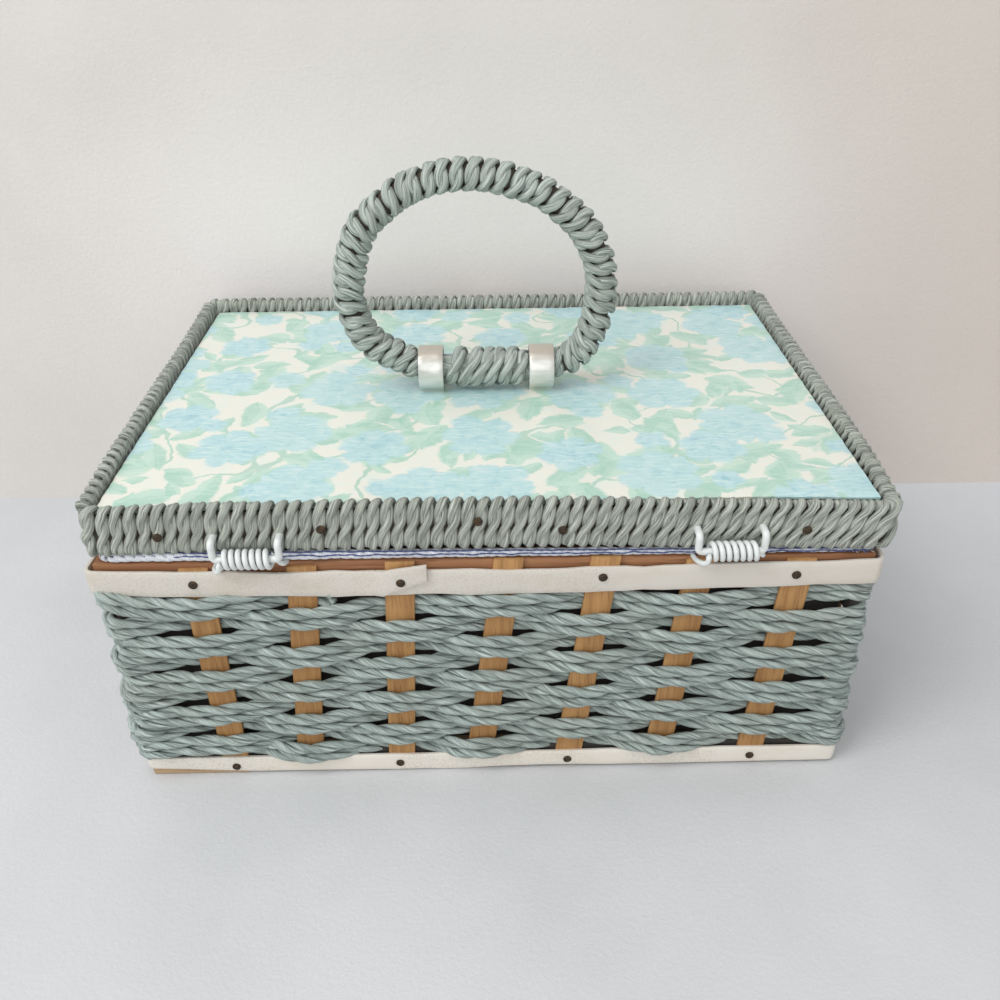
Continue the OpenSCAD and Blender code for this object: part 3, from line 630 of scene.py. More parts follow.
class Bench:
    """Short ways to work with Blender's own operators."""

    @staticmethod
    def clear() -> None:
        """Deselects everything."""
        bpy.ops.object.select_all(action="DESELECT")

    @staticmethod
    def hold(piece: bpy.types.Object) -> bpy.types.Object:
        """Selects one piece alone and makes it active."""
        Bench.clear()
        piece.select_set(True)
        bpy.context.view_layer.objects.active = piece
        return piece

    @staticmethod
    @contextmanager
    def editing(piece: bpy.types.Object) -> Iterator[None]:
        """Edit mode on one piece, left again whatever happens."""
        Bench.hold(piece)
        bpy.ops.object.mode_set(mode="EDIT")
        try:
            yield
        finally:
            bpy.ops.object.mode_set(mode="OBJECT")

    @staticmethod
    def pick(piece: bpy.types.Object, kind: str, test: Callable[[object], bool]) -> None:
        """Selects the vertices, edges or faces that pass a test, in edit mode.

        Args:
            piece: The piece in edit mode.
            kind: verts, edges or faces.
            test: True for what is selected.
        """
        bpy.ops.mesh.select_mode(type={"verts": "VERT", "edges": "EDGE", "faces": "FACE"}[kind])
        bpy.ops.mesh.select_all(action="DESELECT")
        mesh = bmesh.from_edit_mesh(piece.data)
        for element in getattr(mesh, kind):
            if test(element):
                element.select_set(True)
        mesh.select_flush_mode()
        bmesh.update_edit_mesh(piece.data)

    @staticmethod
    def modify(piece: bpy.types.Object, kind: str, **settings: object) -> None:
        """Adds a modifier and applies it."""
        Bench.hold(piece)
        made = piece.modifiers.new(kind.title(), kind)
        for key, value in settings.items():
            setattr(made, key, value)
        bpy.ops.object.modifier_apply(modifier=made.name)

    @staticmethod
    def still(piece: bpy.types.Object) -> bpy.types.Object:
        """Puts the piece's place into its mesh, with the object at the origin."""
        Bench.hold(piece)
        bpy.ops.object.transform_apply(location=True, rotation=True, scale=True)
        return piece

    @staticmethod
    def join(pieces: Sequence[bpy.types.Object], name: str) -> bpy.types.Object:
        """Joins copies into one piece."""
        Bench.clear()
        for piece in pieces:
            piece.select_set(True)
        bpy.context.view_layer.objects.active = pieces[0]
        bpy.ops.object.join()
        pieces[0].name = pieces[0].data.name = name
        return pieces[0]

    @staticmethod
    def copy(piece: bpy.types.Object, place: Matrix) -> bpy.types.Object:
        """A copy with its own mesh, moved."""
        twin = piece.copy()
        twin.data = piece.data.copy()
        twin.data.transform(place)
        bpy.context.scene.collection.objects.link(twin)
        return twin

    @staticmethod
    def block(low: Sequence[float], high: Sequence[float]) -> bpy.types.Object:
        """A block between two corners in millimetres."""
        Bench.clear()
        bpy.ops.mesh.primitive_cube_add(size=2 * MM)
        piece = bpy.context.active_object
        with Bench.editing(piece):
            bpy.ops.mesh.select_all(action="SELECT")
            bpy.ops.transform.resize(value=tuple((b - a) / 2 for a, b in zip(low, high)))
            bpy.ops.transform.translate(value=tuple((a + b) / 2 * MM for a, b in zip(low, high)))
        return piece

    @staticmethod
    def loop(half_x: float, half_y: float, radius: float, height: float, segments: int = 6) -> bpy.types.Object:
        """A level line round a rectangle with round corners.

        Args:
            half_x: Half its length in millimetres.
            half_y: Half its depth.
            radius: Its corners' radius.
            height: Its height.
            segments: Edges of a corner.

        Returns:
            A piece of edges only.
        """
        Bench.clear()
        bpy.ops.mesh.primitive_plane_add(size=2 * MM, location=(0, 0, height * MM))
        piece = Bench.still(bpy.context.active_object)
        with Bench.editing(piece):
            bpy.ops.mesh.select_all(action="SELECT")
            bpy.ops.transform.resize(value=(half_x, half_y, 1))
            bpy.ops.mesh.bevel(offset=radius * MM, segments=segments, affect="VERTICES")
            bpy.ops.mesh.delete(type="ONLY_FACE")
        return piece

    @staticmethod
    def draw_up(rows: int, rise: float) -> None:
        """Draws all edges of the piece in edit mode up, in rows of so many millimetres, and turns its faces out."""
        bpy.ops.mesh.select_all(action="SELECT")
        for _ in range(rows):
            bpy.ops.mesh.extrude_edges_move(TRANSFORM_OT_translate={"value": (0, 0, rise * MM)})
        Bench.face_out()

    @staticmethod
    def face_out() -> None:
        """Turns all faces of the piece in edit mode outwards."""
        bpy.ops.mesh.select_all(action="SELECT")
        bpy.ops.mesh.normals_make_consistent(inside=False)

    @staticmethod
    def thicken(piece: bpy.types.Object, thickness: float) -> None:
        """Gives a wall its thickness in millimetres, evenly to both sides."""
        Bench.modify(piece, "SOLIDIFY", thickness=thickness * MM, offset=0, use_even_offset=True)

    @staticmethod
    def soften(piece: bpy.types.Object, width: float, angle: float = 60.0) -> None:
        """Rounds edges sharper than an angle in degrees, by so many millimetres."""
        Bench.modify(piece, "BEVEL", width=width * MM, segments=2, limit_method="ANGLE",
                     angle_limit=math.radians(angle))

    @staticmethod
    def finish(piece: bpy.types.Object, name: str, angle: float = 40.0) -> None:
        """Names a piece and shades it smooth up to an angle in degrees."""
        Bench.hold(piece)
        bpy.ops.object.shade_smooth_by_angle(angle=math.radians(angle))
        piece.name = piece.data.name = name


def hand_over(piece: bpy.types.Object, body: Body, slot: Slot, material: bpy.types.Material,
              *nodes: str) -> bpy.types.Object:
    """Dresses a finished piece, hangs it on its body and hides the CAD nodes that it stands for.

    Args:
        piece: The piece.
        body: The CAD body that it rides on.
        slot: The record's slot for its finish; not used.
        material: Its material.
        nodes: The CAD nodes that it stands for.

    Returns:
        The piece.
    """
    if not piece.data.materials:
        piece.data.materials.append(material)
    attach(piece, body.value)
    if nodes:
        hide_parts(*nodes)
    LOG.info("%s: %d faces on %s", piece.name, len(piece.data.polygons), body.value)
    return piece


# Cords


@dataclass
class Tube:
    """One strand: rings of corners along it, with the distance along it at each ring."""

    rings: Array
    along: Array
    finish: int = 0

    def cut(self, first: int, last: int) -> "Tube":
        """The part from one ring to another."""
        return Tube(self.rings[first:last + 1], self.along[first:last + 1], self.finish)


def tube_mesh(name: str, tubes: Sequence[Tube]) -> bpy.types.Object:
    """Builds closed strands as one mesh, with a UV map in metres along and once round each strand.

    Args:
        name: The piece's name.
        tubes: Its strands.

    Returns:
        The piece, smooth shaded.
    """
    points, quads, uvs, finishes, start = [], [], [], [], 0
    caps: list[list[int]] = []
    cap_finish: list[int] = []
    for number, tube in enumerate(tubes):
        n, m, _ = tube.rings.shape
        points.append(tube.rings.reshape(-1, 3))
        i, j = np.meshgrid(np.arange(n - 1), np.arange(m), indexing="ij")
        k = (j + 1) % m
        quads.append(np.stack([i * m + j, (i + 1) * m + j, (i + 1) * m + k, i * m + k], -1).reshape(-1, 4) + start)
        u = tube.along + number * 1.37
        v = np.arange(m + 1) / m
        uvs.append(np.stack([np.stack([u[i], v[j]], -1), np.stack([u[i + 1], v[j]], -1),
                             np.stack([u[i + 1], v[j + 1]], -1), np.stack([u[i], v[j + 1]], -1)], 2).reshape(-1, 2))
        finishes.append(np.full(len(quads[-1]), tube.finish))
        caps.append([start + q for q in range(m)])
        caps.append([start + (n - 1) * m + q for q in range(m)][::-1])
        cap_finish += [tube.finish] * 2
        start += n * m
    quad = np.concatenate(quads)
    loops = np.concatenate([quad.ravel(), np.array([q for cap in caps for q in cap], int)])
    sizes = np.concatenate([np.full(len(quad), 4), np.array([len(cap) for cap in caps])])
    starts = np.concatenate([[0], np.cumsum(sizes)[:-1]])
    mesh = bpy.data.meshes.new(name)
    place = np.concatenate(points)
    mesh.vertices.add(len(place))
    mesh.vertices.foreach_set("co", place.astype(np.float32).ravel())
    mesh.loops.add(len(loops))
    mesh.loops.foreach_set("vertex_index", loops.astype(np.int32))
    mesh.polygons.add(len(sizes))
    mesh.polygons.foreach_set("loop_start", starts.astype(np.int32))
    mesh.polygons.foreach_set("material_index", np.concatenate([*finishes, cap_finish]).astype(np.int32))
    mesh.polygons.foreach_set("use_smooth", np.ones(len(sizes), bool))
    uv = np.zeros((len(loops), 2), np.float32)
    uv[:len(quad) * 4] = np.concatenate(uvs)
    mesh.uv_layers.new(name="strand").data.foreach_set("uv", uv.ravel())
    mesh.update(calc_edges=True)
    mesh.validate()
    piece = bpy.data.objects.new(name, mesh)
    bpy.context.scene.collection.objects.link(piece)
    return piece


def unit(v: Array) -> Array:
    """Vectors of length one."""
    return v / np.maximum(np.linalg.norm(v, axis=-1, keepdims=True), 1e-12)


def lengths(points: Array) -> Array:
    """The distance along a line at each of its points."""
    return np.concatenate([[0], np.cumsum(np.linalg.norm(np.diff(points, axis=0), axis=1))])


@dataclass(frozen=True)
class CordShape:
    """A cord of plies in a right-handed twist. Sizes in millimetres; out is away from what the cord lies on.

    A free cord's plies turn their broad side with the twist, a pressed cord's plies keep it on what they lie on, and
    spread by the flare where one lies over the other.
    """

    plies: int = 2
    twist: float = 25.0
    offset_out: float = 1.0
    offset_side: float = 1.0
    ply_out: float = 1.25
    ply_side: float = 1.8
    flare: float = 0.0
    corners: int = 8
    pressed: bool = False

    def strands(self, centre: Array, out: Array, phase: Array | float = 0.0, finish: int = 0,
                fat: Array | float = 1.0) -> list[Tube]:
        """Sweeps the plies along a line.

        Args:
            centre: The cord's centre line, in metres.
            out: The way out at each point.
            phase: Turn of the twist added at each point, in radians.
            finish: Number of the material.
            fat: Share of the cord's thickness at each point.

        Returns:
            One tube for each ply.
        """
        ahead = unit(np.gradient(centre, axis=0))
        out = unit(out - (out * ahead).sum(-1, keepdims=True) * ahead)
        side = np.cross(ahead, out)
        along = lengths(centre)
        turn = phase - along / (self.twist * MM) * 2 * math.pi
        fat = np.broadcast_to(np.asarray(fat, float), turn.shape)
        corner = np.arange(self.corners) / self.corners * 2 * math.pi
        tubes = []
        for ply in range(self.plies):
            a = turn + ply * 2 * math.pi / self.plies
            c, s = np.cos(a), np.sin(a)
            middle = centre + (side * (c * self.offset_side * fat)[:, None]
                               + out * (s * self.offset_out * fat)[:, None]) * MM
            if self.pressed:
                first, second = side, out
                first_size, second_size = self.ply_side * (1 + self.flare * s * s), self.ply_out
            else:
                first, second = side * c[:, None] + out * s[:, None], out * c[:, None] - side * s[:, None]
                first_size, second_size = self.ply_out, self.ply_side
            first, second = first * (fat * first_size * MM)[:, None], second * (fat * second_size * MM)[:, None]
            ring = (middle[:, None] + first[:, None] * np.cos(corner)[None, :, None]
                    + second[:, None] * np.sin(corner)[None, :, None])
            tubes.append(Tube(ring, along, finish))
        return tubes


def round_tube(centre: Array, radius: float, corners: int, finish: int = 0) -> Tube:
    """Sweeps a plain round wire.

    Args:
        centre: Its centre line, in metres.
        radius: Its radius in millimetres.
        corners: Corners round it.
        finish: Number of the material.

    Returns:
        The strand.
    """
    ahead = unit(np.gradient(centre, axis=0))
    up = np.zeros_like(centre)
    seed = np.array([0.0, 0.0, 1.0]) if abs(ahead[0, 2]) < 0.9 else np.array([1.0, 0.0, 0.0])
    for i, way in enumerate(ahead):
        seed = unit(seed - way * (seed @ way))
        up[i] = seed
    side = np.cross(ahead, up)
    corner = np.arange(corners) / corners * 2 * math.pi
    rings = centre[:, None] + radius * MM * (side[:, None] * np.cos(corner)[None, :, None]
                                             + up[:, None] * np.sin(corner)[None, :, None])
    return Tube(rings, lengths(centre), finish)


@dataclass(frozen=True)
class Round:
    """A level path round the basket: a rectangle with round corners. Sizes in millimetres."""

    half_x: float
    half_y: float
    radius: float

    @property
    def straights(self) -> tuple[float, float]:
        """Straight lengths of a long side and of an end."""
        return 2 * (self.half_x - self.radius), 2 * (self.half_y - self.radius)

    @property
    def total(self) -> float:
        """The whole way round."""
        return 2 * sum(self.straights) + 2 * math.pi * self.radius

    def start(self, side: Side) -> float:
        """Where a side's straight part starts, as a distance from the hinge side's left end."""
        long, end = self.straights
        quarter = math.pi / 2 * self.radius
        return [0, long + quarter, long + end + 2 * quarter, 2 * long + end + 3 * quarter][side.value]

    def at(self, distance: Array) -> tuple[Array, Array]:
        """Places and outward directions.

        Args:
            distance: Distances along the path; they may pass the end, and go on round.

        Returns:
            Places and outward directions, level, in millimetres.
        """
        s = np.mod(np.asarray(distance, float), self.total)
        long, end = self.straights
        quarter = math.pi / 2 * self.radius
        place, out = np.zeros((*s.shape, 3)), np.zeros((*s.shape, 3))
        begin = 0.0
        for side in Side:
            straight = (long, end)[side.value % 2]
            depth = (self.half_y, self.half_x)[side.value % 2]
            turn = math.pi / 2 * side.value
            inside = (s >= begin) & (s < begin + straight + quarter)
            t = s - begin
            bend = np.clip((t - straight) / self.radius, 0, None)
            x = np.minimum(t, straight) - straight / 2 + self.radius * np.sin(bend)
            y = -(depth - self.radius) - self.radius * np.cos(bend)
            nx, ny = np.sin(bend), -np.cos(bend)
            c, k = math.cos(turn), math.sin(turn)
            here = np.stack([x * c - y * k, x * k + y * c, 0 * x], -1)
            away = np.stack([nx * c - ny * k, nx * k + ny * c, 0 * x], -1)
            place[inside], out[inside] = here[inside], away[inside]
            begin += straight + quarter
        return place, out


def waver(place: Array, period: float, seed: int) -> Array:
    """Smooth, seeded unevenness of about plus or minus one along a line.

    Args:
        place: Places along the line.
        period: Its longest wave.
        seed: Seed of its phases.

    Returns:
        The unevenness at each place.
    """
    draw = np.random.default_rng(seed).uniform(0, 2 * math.pi, 3)
    x = np.asarray(place, float) / period * 2 * math.pi
    return (np.sin(x + draw[0]) + 0.6 * np.sin(1.73 * x + draw[1]) + 0.4 * np.sin(2.91 * x + draw[2])) / 1.5


def flowing(points: Sequence[Sequence[float]], step: float, closed: bool = False) -> Array:
    """A smooth line through points.

    Args:
        points: The points, in millimetres.
        step: Distance of the line's own points, in millimetres.
        closed: Whether the line comes back to its start.

    Returns:
        The line, in metres.
    """
    p = np.asarray(points, float)
    if closed:
        knots = np.concatenate([p[-1:], p, p[:2]])
    else:
        knots = np.concatenate([2 * p[:1] - p[1:2], p, 2 * p[-1:] - p[-2:-1]])
    t = np.linspace(0, 1, 24, endpoint=False)[:, None]
    parts = []
    for a, b, c, d in zip(knots, knots[1:], knots[2:], knots[3:]):
        parts.append(0.5 * (2 * b + (c - a) * t + (2 * a - 5 * b + 4 * c - d) * t ** 2
                            + (3 * b - a - 3 * c + d) * t ** 3))
    line = np.concatenate([*parts, knots[-2:-1]])
    along = lengths(line)
    count = max(3, int(round(along[-1] / step)) + 1)
    even = np.linspace(0, along[-1], count)
    return np.stack([np.interp(even, along, line[:, i]) for i in range(3)], -1) * MM


def turned(side: Side) -> Matrix:
    """The turn from the hinge side to a side."""
    return Matrix.Rotation(math.pi / 2 * side.value, 4, "Z")


def eased(share: Array) -> Array:
    """A smooth step from 0 to 1."""
    share = np.clip(share, 0, 1)
    return share * share * (3 - 2 * share)


def settled(place: Array, wide: tuple[float, float] = (1.8, 2.9)) -> Array:
    """Moves places of the lid as it has warped: its two corners on the hinge side stand out and hang down.

    Args:
        place: Places in millimetres.
        wide: How far the left and the right corner stand out sideways.

    Returns:
        The moved places.
    """
    half_x, half_y, front_from, corner_from, corner_long, slope_long = 137, 92, 60, 88, 52, 110
    x, y = place[..., 0], place[..., 1]
    near, front = np.clip((half_y - y) / (2 * half_y), 0, 1), np.clip((-y - front_from) / (half_y - front_from), 0, 1)
    right, left, slope = (eased(share) for share in (
        (x - corner_from) / corner_long, (-x - corner_from) / corner_long, x / slope_long))
    aside = near * x / half_x * np.where(x > 0, wide[1], wide[0])
    ahead = -front * (2.0 * right + 1.0 * left)
    down = -front * (0.8 + 2.4 * slope + 0.5 * left)
    return place + np.stack([aside, ahead, down], -1)


# The basket


@dataclass
class Splints:
    """Veneer stakes of the four sides, leaning a little. Sizes in millimetres."""

    width: float = 10.6
    thickness: float = 1.5
    bottom: float = 1.0
    top: float = 103.0
    lean: float = math.tan(math.radians(3))
    pitch: float = 35.0
    faces: tuple[float, float] = (94.95, 137.95)
    seen: tuple[tuple[float, float, float, float], ...] = (
        (-104.1, 77.6, -104.0, 26.4), (-67.4, 86.5, -72.5, 20.0), (-32.5, 86.2, -36.4, 13.3), (3.5, 77.4, -3.3, 22.0),
        (39.0, 85.0, 31.2, 12.5), (72.6, 75.8, 68.2, 23.4), (109.6, 86.6, 104.9, 14.5))
    proud: tuple[float, ...] = (0.0, 0.3, 1.4, 2.0, 2.2, 0.2, 0.0)

    def count(self, side: Side) -> int:
        """Splints of a side."""
        return 5 if side.is_end else 7

    def place(self, side: Side, number: int, height: Array | float) -> Array | float:
        """Where a splint is along its side.

        Args:
            side: Its side.
            number: Its number from the left, as seen from outside.
            height: Heights in millimetres.

        Returns:
            Its middle along the side at each height.
        """
        if side is Side.HINGE:
            top_x, top_z, low_x, low_z = self.seen[number]
            return low_x + (height - low_z) * (top_x - low_x) / (top_z - low_z)
        vary = 0.8 * math.sin(number * 2.3 + side.value * 1.7)
        return (number - (self.count(side) - 1) / 2) * self.pitch + (height - 52) * self.lean + vary

    def _master(self) -> bpy.types.Object:
        """One upright splint with softened, slightly cupped faces."""
        half = (self.width / 2, self.thickness / 2, (self.top - self.bottom) / 2)
        piece = Bench.block([-h for h in half], half)
        with Bench.editing(piece):
            Bench.pick(piece, "edges", lambda e: abs((e.verts[0].co - e.verts[1].co).x) > 5 * MM)
            bpy.ops.mesh.subdivide(number_cuts=3)
            Bench.pick(piece, "edges", lambda e: abs((e.verts[0].co - e.verts[1].co).z) > 50 * MM)
            bpy.ops.mesh.subdivide(number_cuts=14)
            Bench.pick(piece, "verts", lambda v: v.co.y < 0 and abs(v.co.x) < 3.5 * MM)
            bpy.ops.transform.translate(value=(0, -0.18 * MM, 0))
        Bench.soften(piece, 0.3, 50)
        Bench.finish(piece, "splint")
        return piece

    def build(self, material: bpy.types.Material) -> None:
        """Copies the splint to its places.

        Args:
            material: The veneer.
        """
        master = self._master()
        for side in (Side.HINGE, Side.CLASP, Side.LEFT, Side.RIGHT):
            copies = []
            for number in range(self.count(side)):
                low, high = self.bottom, self.top - 0.4 + (self.proud[number] if side is Side.HINGE else 0.2)
                x_low, x_high = self.place(side, number, low), self.place(side, number, high)
                shape = Matrix.Diagonal((1, 1, (high - low) / (self.top - self.bottom), 1))
                slope = Matrix.Identity(4)
                slope[0][2] = (x_high - x_low) / (high - low)
                where = Matrix.Translation(Vector(((x_low + x_high) / 2, -self.faces[side.value % 2],
                                                   (low + high) / 2)) * MM)
                copies.append(Bench.copy(master, turned(side) @ where @ slope @ shape))
            hand_over(Bench.join(copies, f"splints_{side.name.lower()}"), Body.BASKET, Slot.STAKES, material,
                      f"stakes_{side.label}")
        bpy.data.objects.remove(master)


@dataclass
class WovenWall:
    """One spiral of doubled paper cord, in front of and behind the splints. Sizes in millimetres."""

    splints: Splints
    route: Round = field(default_factory=lambda: Round(137.95, 94.95, 3.5))
    cord: CordShape = CordShape(twist=24.0, offset_out=1.02, offset_side=1.02, ply_out=1.3, ply_side=1.62)
    rows: int = 9
    first_row: float = 14.1
    row: float = 8.8
    swing: float = 2.95
    pair: float = 2.25
    step: float = 1.9
    lowest: float = 12.7
    highest: float = 88.3
    starts: float = -105.0
    ends: float = -54.5
    climb: tuple[tuple[float, float], ...] = (
        (-134, -8.0), (-104, -6.8), (-70, -3.9), (-35, -1.3), (0, -0.6), (35, -0.3), (70, -0.1), (105, 0.0),
        (130, 0.1), (900, 0.8))

    def _height(self, s: Array) -> Array:
        """Heights of the doubled cord along the spiral.

        Args:
            s: Distances along the spiral.

        Returns:
            Heights in millimetres.
        """
        total = self.route.total
        k, t = np.floor(s / total), np.mod(s, total)
        knots = np.array(self.climb)
        knots[:, 0] += self.route.straights[0] / 2
        knots[-1, 0] = total
        rise = np.interp(t, knots[:, 0], knots[:, 1])
        z = self.first_row + self.row * k + rise
        soft = np.hanning(25) / np.hanning(25).sum()
        z = np.convolve(np.pad(z, 12, mode="edge"), soft, mode="valid")
        low = np.maximum(z, self.lowest)
        lift = np.maximum(self.lowest - (self.first_row + rise), 0)
        z = low + lift * np.select([k == 1, k == 2, k == 3], [0.22, 0.1, 0.04], 0.0) + 0.32 * waver(s, 83, 11)
        # The last row is pushed up at the hinge side's two corners and in its middle; its end stays under the strip
        last = s - total * self.rows
        right = np.exp(-((last + total - self.route.straights[0] - 4) / 17) ** 2)
        left = np.exp(-((last + 9) / 16) ** 2)
        middle = np.exp(-((last + total - self.route.straights[0] / 2 - 2) / 17) ** 4)
        z = z + 3.0 * right + 6.5 * left + 1.7 * middle
        return np.where(last > 26, np.minimum(z, self.highest), z)

    def _out(self, s: Array, z: Array) -> tuple[Array, Array]:
        """How far out the cord runs, and how much of a crest each place is.

        Args:
            s: Distances along the spiral.
            z: Heights there.

        Returns:
            Distances out of the splints' mid-plane, and crests from -1 to 1.
        """
        total = self.route.total
        per_turn = sum(self.splints.count(side) for side in Side) + 1
        places, waves = [], []
        for k in range(self.rows + 2):
            wave = 0
            for side in Side:
                for number in range(self.splints.count(side)):
                    # Both splints at one corner are passed on the same side, so that the rows alternate
                    if side is Side.LEFT and number == 0:
                        wave += 1
                    height = float(np.interp(total * k + self.route.start(side) + 100, s, z))
                    x = self.splints.place(side, number, height)
                    places.append(total * k + self.route.start(side) + self.route.straights[side.value % 2] / 2 + x)
                    waves.append(wave + per_turn * k)
                    wave += 1
        crest = -np.cos(math.pi * np.interp(s, places, waves))
        out = self.swing * crest + 0.22 * waver(s, 61, 5)
        first = (s < total) & (crest > 0)
        out = out + np.where(first, 0.8 * crest, 0)
        # The weave bulges at the hinge side's corners, most at the lower left
        t = np.mod(s, total)
        before, after = np.exp(-((total - t) / 27) ** 2), np.exp(-(t / 9) ** 2)
        deep = np.clip(1 - z / 80, 0, 1)
        out = out + (0.6 + 4.2 * deep) * np.maximum(before, after)
        out = out + 1.8 * deep * np.exp(-((t - self.route.straights[0] - 8) / 16) ** 2)
        out = out + 3.0 * np.exp(-((s - total * self.rows + 4) / 11) ** 2)
        # The cord's loose end stands out
        tail = np.clip((s - (total * self.rows + self.route.straights[0] / 2 + self.ends - 12)) / 12, 0, 1)
        return out + 3.2 * tail ** 2, crest

    def build(self, material: bpy.types.Material) -> None:
        """Sweeps the cords and hands them over in three pieces, cut where a splint hides the cut.

        Args:
            material: The paper cord.
        """
        half = self.route.straights[0] / 2
        s = np.arange(half + self.starts, self.route.total * self.rows + half + self.ends, self.step)
        z = self._height(s)
        out, crest = self._out(s, z)
        place, away = self.route.at(s)
        tubes = []
        for number, level in enumerate((-1, 1)):
            spread = self.pair + 0.35 * np.maximum(crest, 0) + 0.12 * waver(s, 47, 21 + number)
            centre = place + away * (out + 0.2 * waver(s, 37, 31 + number))[:, None]
            centre[:, 2] = z + level * spread
            phase = number * 1.9 + 0.5 * waver(s, 300, 41 + number)
            tubes += self.cord.strands(centre * MM, away, phase, fat=1 + 0.03 * waver(s, 90, 51 + number))
        hidden = [int(i) for i in np.where((np.diff(np.sign(np.diff(crest))) > 0))[0]]
        cuts = [0, *(min(hidden, key=lambda i: abs(i - len(s) * share)) for share in (1 / 3, 2 / 3)), len(s) - 1]
        for name, a, b in zip(("weave_low", "weave_middle", "weave_high"), cuts, cuts[1:]):
            part = [t.cut(a, b) for t in tubes]
            hand_over(tube_mesh(name, part), Body.BASKET, Slot.CORD, material, "woven_wall")


@dataclass
class Backing:
    """Near-black card bands and posts behind the weave, painted shade for its gaps, and the base's raw lower edge.
    Sizes in millimetres.
    """

    bands: tuple[tuple[float, float, float, float, float], ...] = ((131.4, 88.4, 2.5, 10.5, 91.5),
                                                                   (137.35, 94.35, 2.0, 7.6, 11.0))
    thickness: float = 0.5
    lip: tuple[tuple[float, float, float], ...] = ((-137.8, -96.6, 0.0), (-99.0, -92.6, 3.5))
    post: tuple[float, float, float] = (134.3, 91.3, 2.6)

    def build(self, card: bpy.types.Material, wood: bpy.types.Material) -> None:
        """Bends the card bands, sets the posts and cuts the lip.

        Args:
            card: The lining's finish, near black here as painted shade.
            wood: The base's wood.
        """
        parts = []
        for half_x, half_y, radius, low, high in self.bands:
            band = Bench.loop(half_x, half_y, radius, low, segments=5)
            with Bench.editing(band):
                Bench.draw_up(1, high - low)
            Bench.thicken(band, self.thickness)
            parts.append(band)
        x, y, radius = self.post
        low, high = self.bands[0][3:]
        for across, ahead in ((1, 1), (1, -1), (-1, 1), (-1, -1)):
            Bench.clear()
            bpy.ops.mesh.primitive_cylinder_add(vertices=16, radius=radius * MM, depth=(high - low) * MM,
                                                location=(across * x * MM, ahead * y * MM, (low + high) / 2 * MM))
            parts.append(Bench.still(bpy.context.active_object))
        backing = Bench.join(parts, "dark_backing")
        Bench.finish(backing, "dark_backing")
        hand_over(backing, Body.BASKET, Slot.LINING, card)
        lip = Bench.block(*self.lip)
        Bench.soften(lip, 0.4)
        Bench.finish(lip, "base_lip", 45)
        hand_over(lip, Body.BASKET, Slot.BASE, wood)


@dataclass
class Tacks:
    """Domed tacks, made once and copied. Sizes in millimetres."""

    radius: float = 1.65
    head: float = 0.5

    def master(self) -> bpy.types.Object:
        """A tack that looks towards -Y, its head's underside at y 0."""
        Bench.clear()
        bpy.ops.mesh.primitive_cylinder_add(vertices=14, radius=self.radius * MM, depth=self.head * MM,
                                            location=(0, -self.head / 2 * MM, 0), rotation=(math.pi / 2, 0, 0))
        piece = Bench.still(bpy.context.active_object)
        with Bench.editing(piece):
            Bench.pick(piece, "faces", lambda f: f.normal.y < -0.9)
            bpy.ops.mesh.inset(thickness=0.3 * MM, depth=0.2 * MM)
            bpy.ops.mesh.inset(thickness=0.5 * MM, depth=0.16 * MM)
            bpy.ops.mesh.inset(thickness=0.3 * MM, depth=-0.12 * MM)
            Bench.pick(piece, "faces", lambda f: f.normal.y > 0.9)
            bpy.ops.mesh.inset(thickness=0.8 * MM, depth=0.0)
            bpy.ops.mesh.extrude_region_move(TRANSFORM_OT_translate={"value": (0, 4 * MM, 0)})
        Bench.finish(piece, "tack", 50)
        return piece

    def group(self, name: str, places: Sequence[tuple[Side, float, float, float]], body: Body,
              material: bpy.types.Material, *nodes: str) -> None:
        """Drives a group of tacks in.

        Args:
            name: The piece's name.
            places: Side, distance along it, height, and how far out the tack sits.
            body: The body that it rides on.
            material: The metal.
            nodes: The CAD nodes that it stands for.
        """
        master = self.master()
        copies = []
        for number, (side, along, height, out) in enumerate(places):
            spin = Matrix.Rotation(number * 1.3, 4, "Y") @ Matrix.Rotation(0.06 * math.sin(number * 2.1), 4, "X")
            where = turned(side) @ Vector((along, -out, height))
            if body is Body.LID:
                where = Vector(settled(np.array(where), (0.0, 0.0)))
            copies.append(Bench.copy(master, Matrix.Translation(where * MM) @ turned(side) @ spin))
        bpy.data.objects.remove(master)
        hand_over(Bench.join(copies, name), body, Slot.NAIL, material, *nodes)


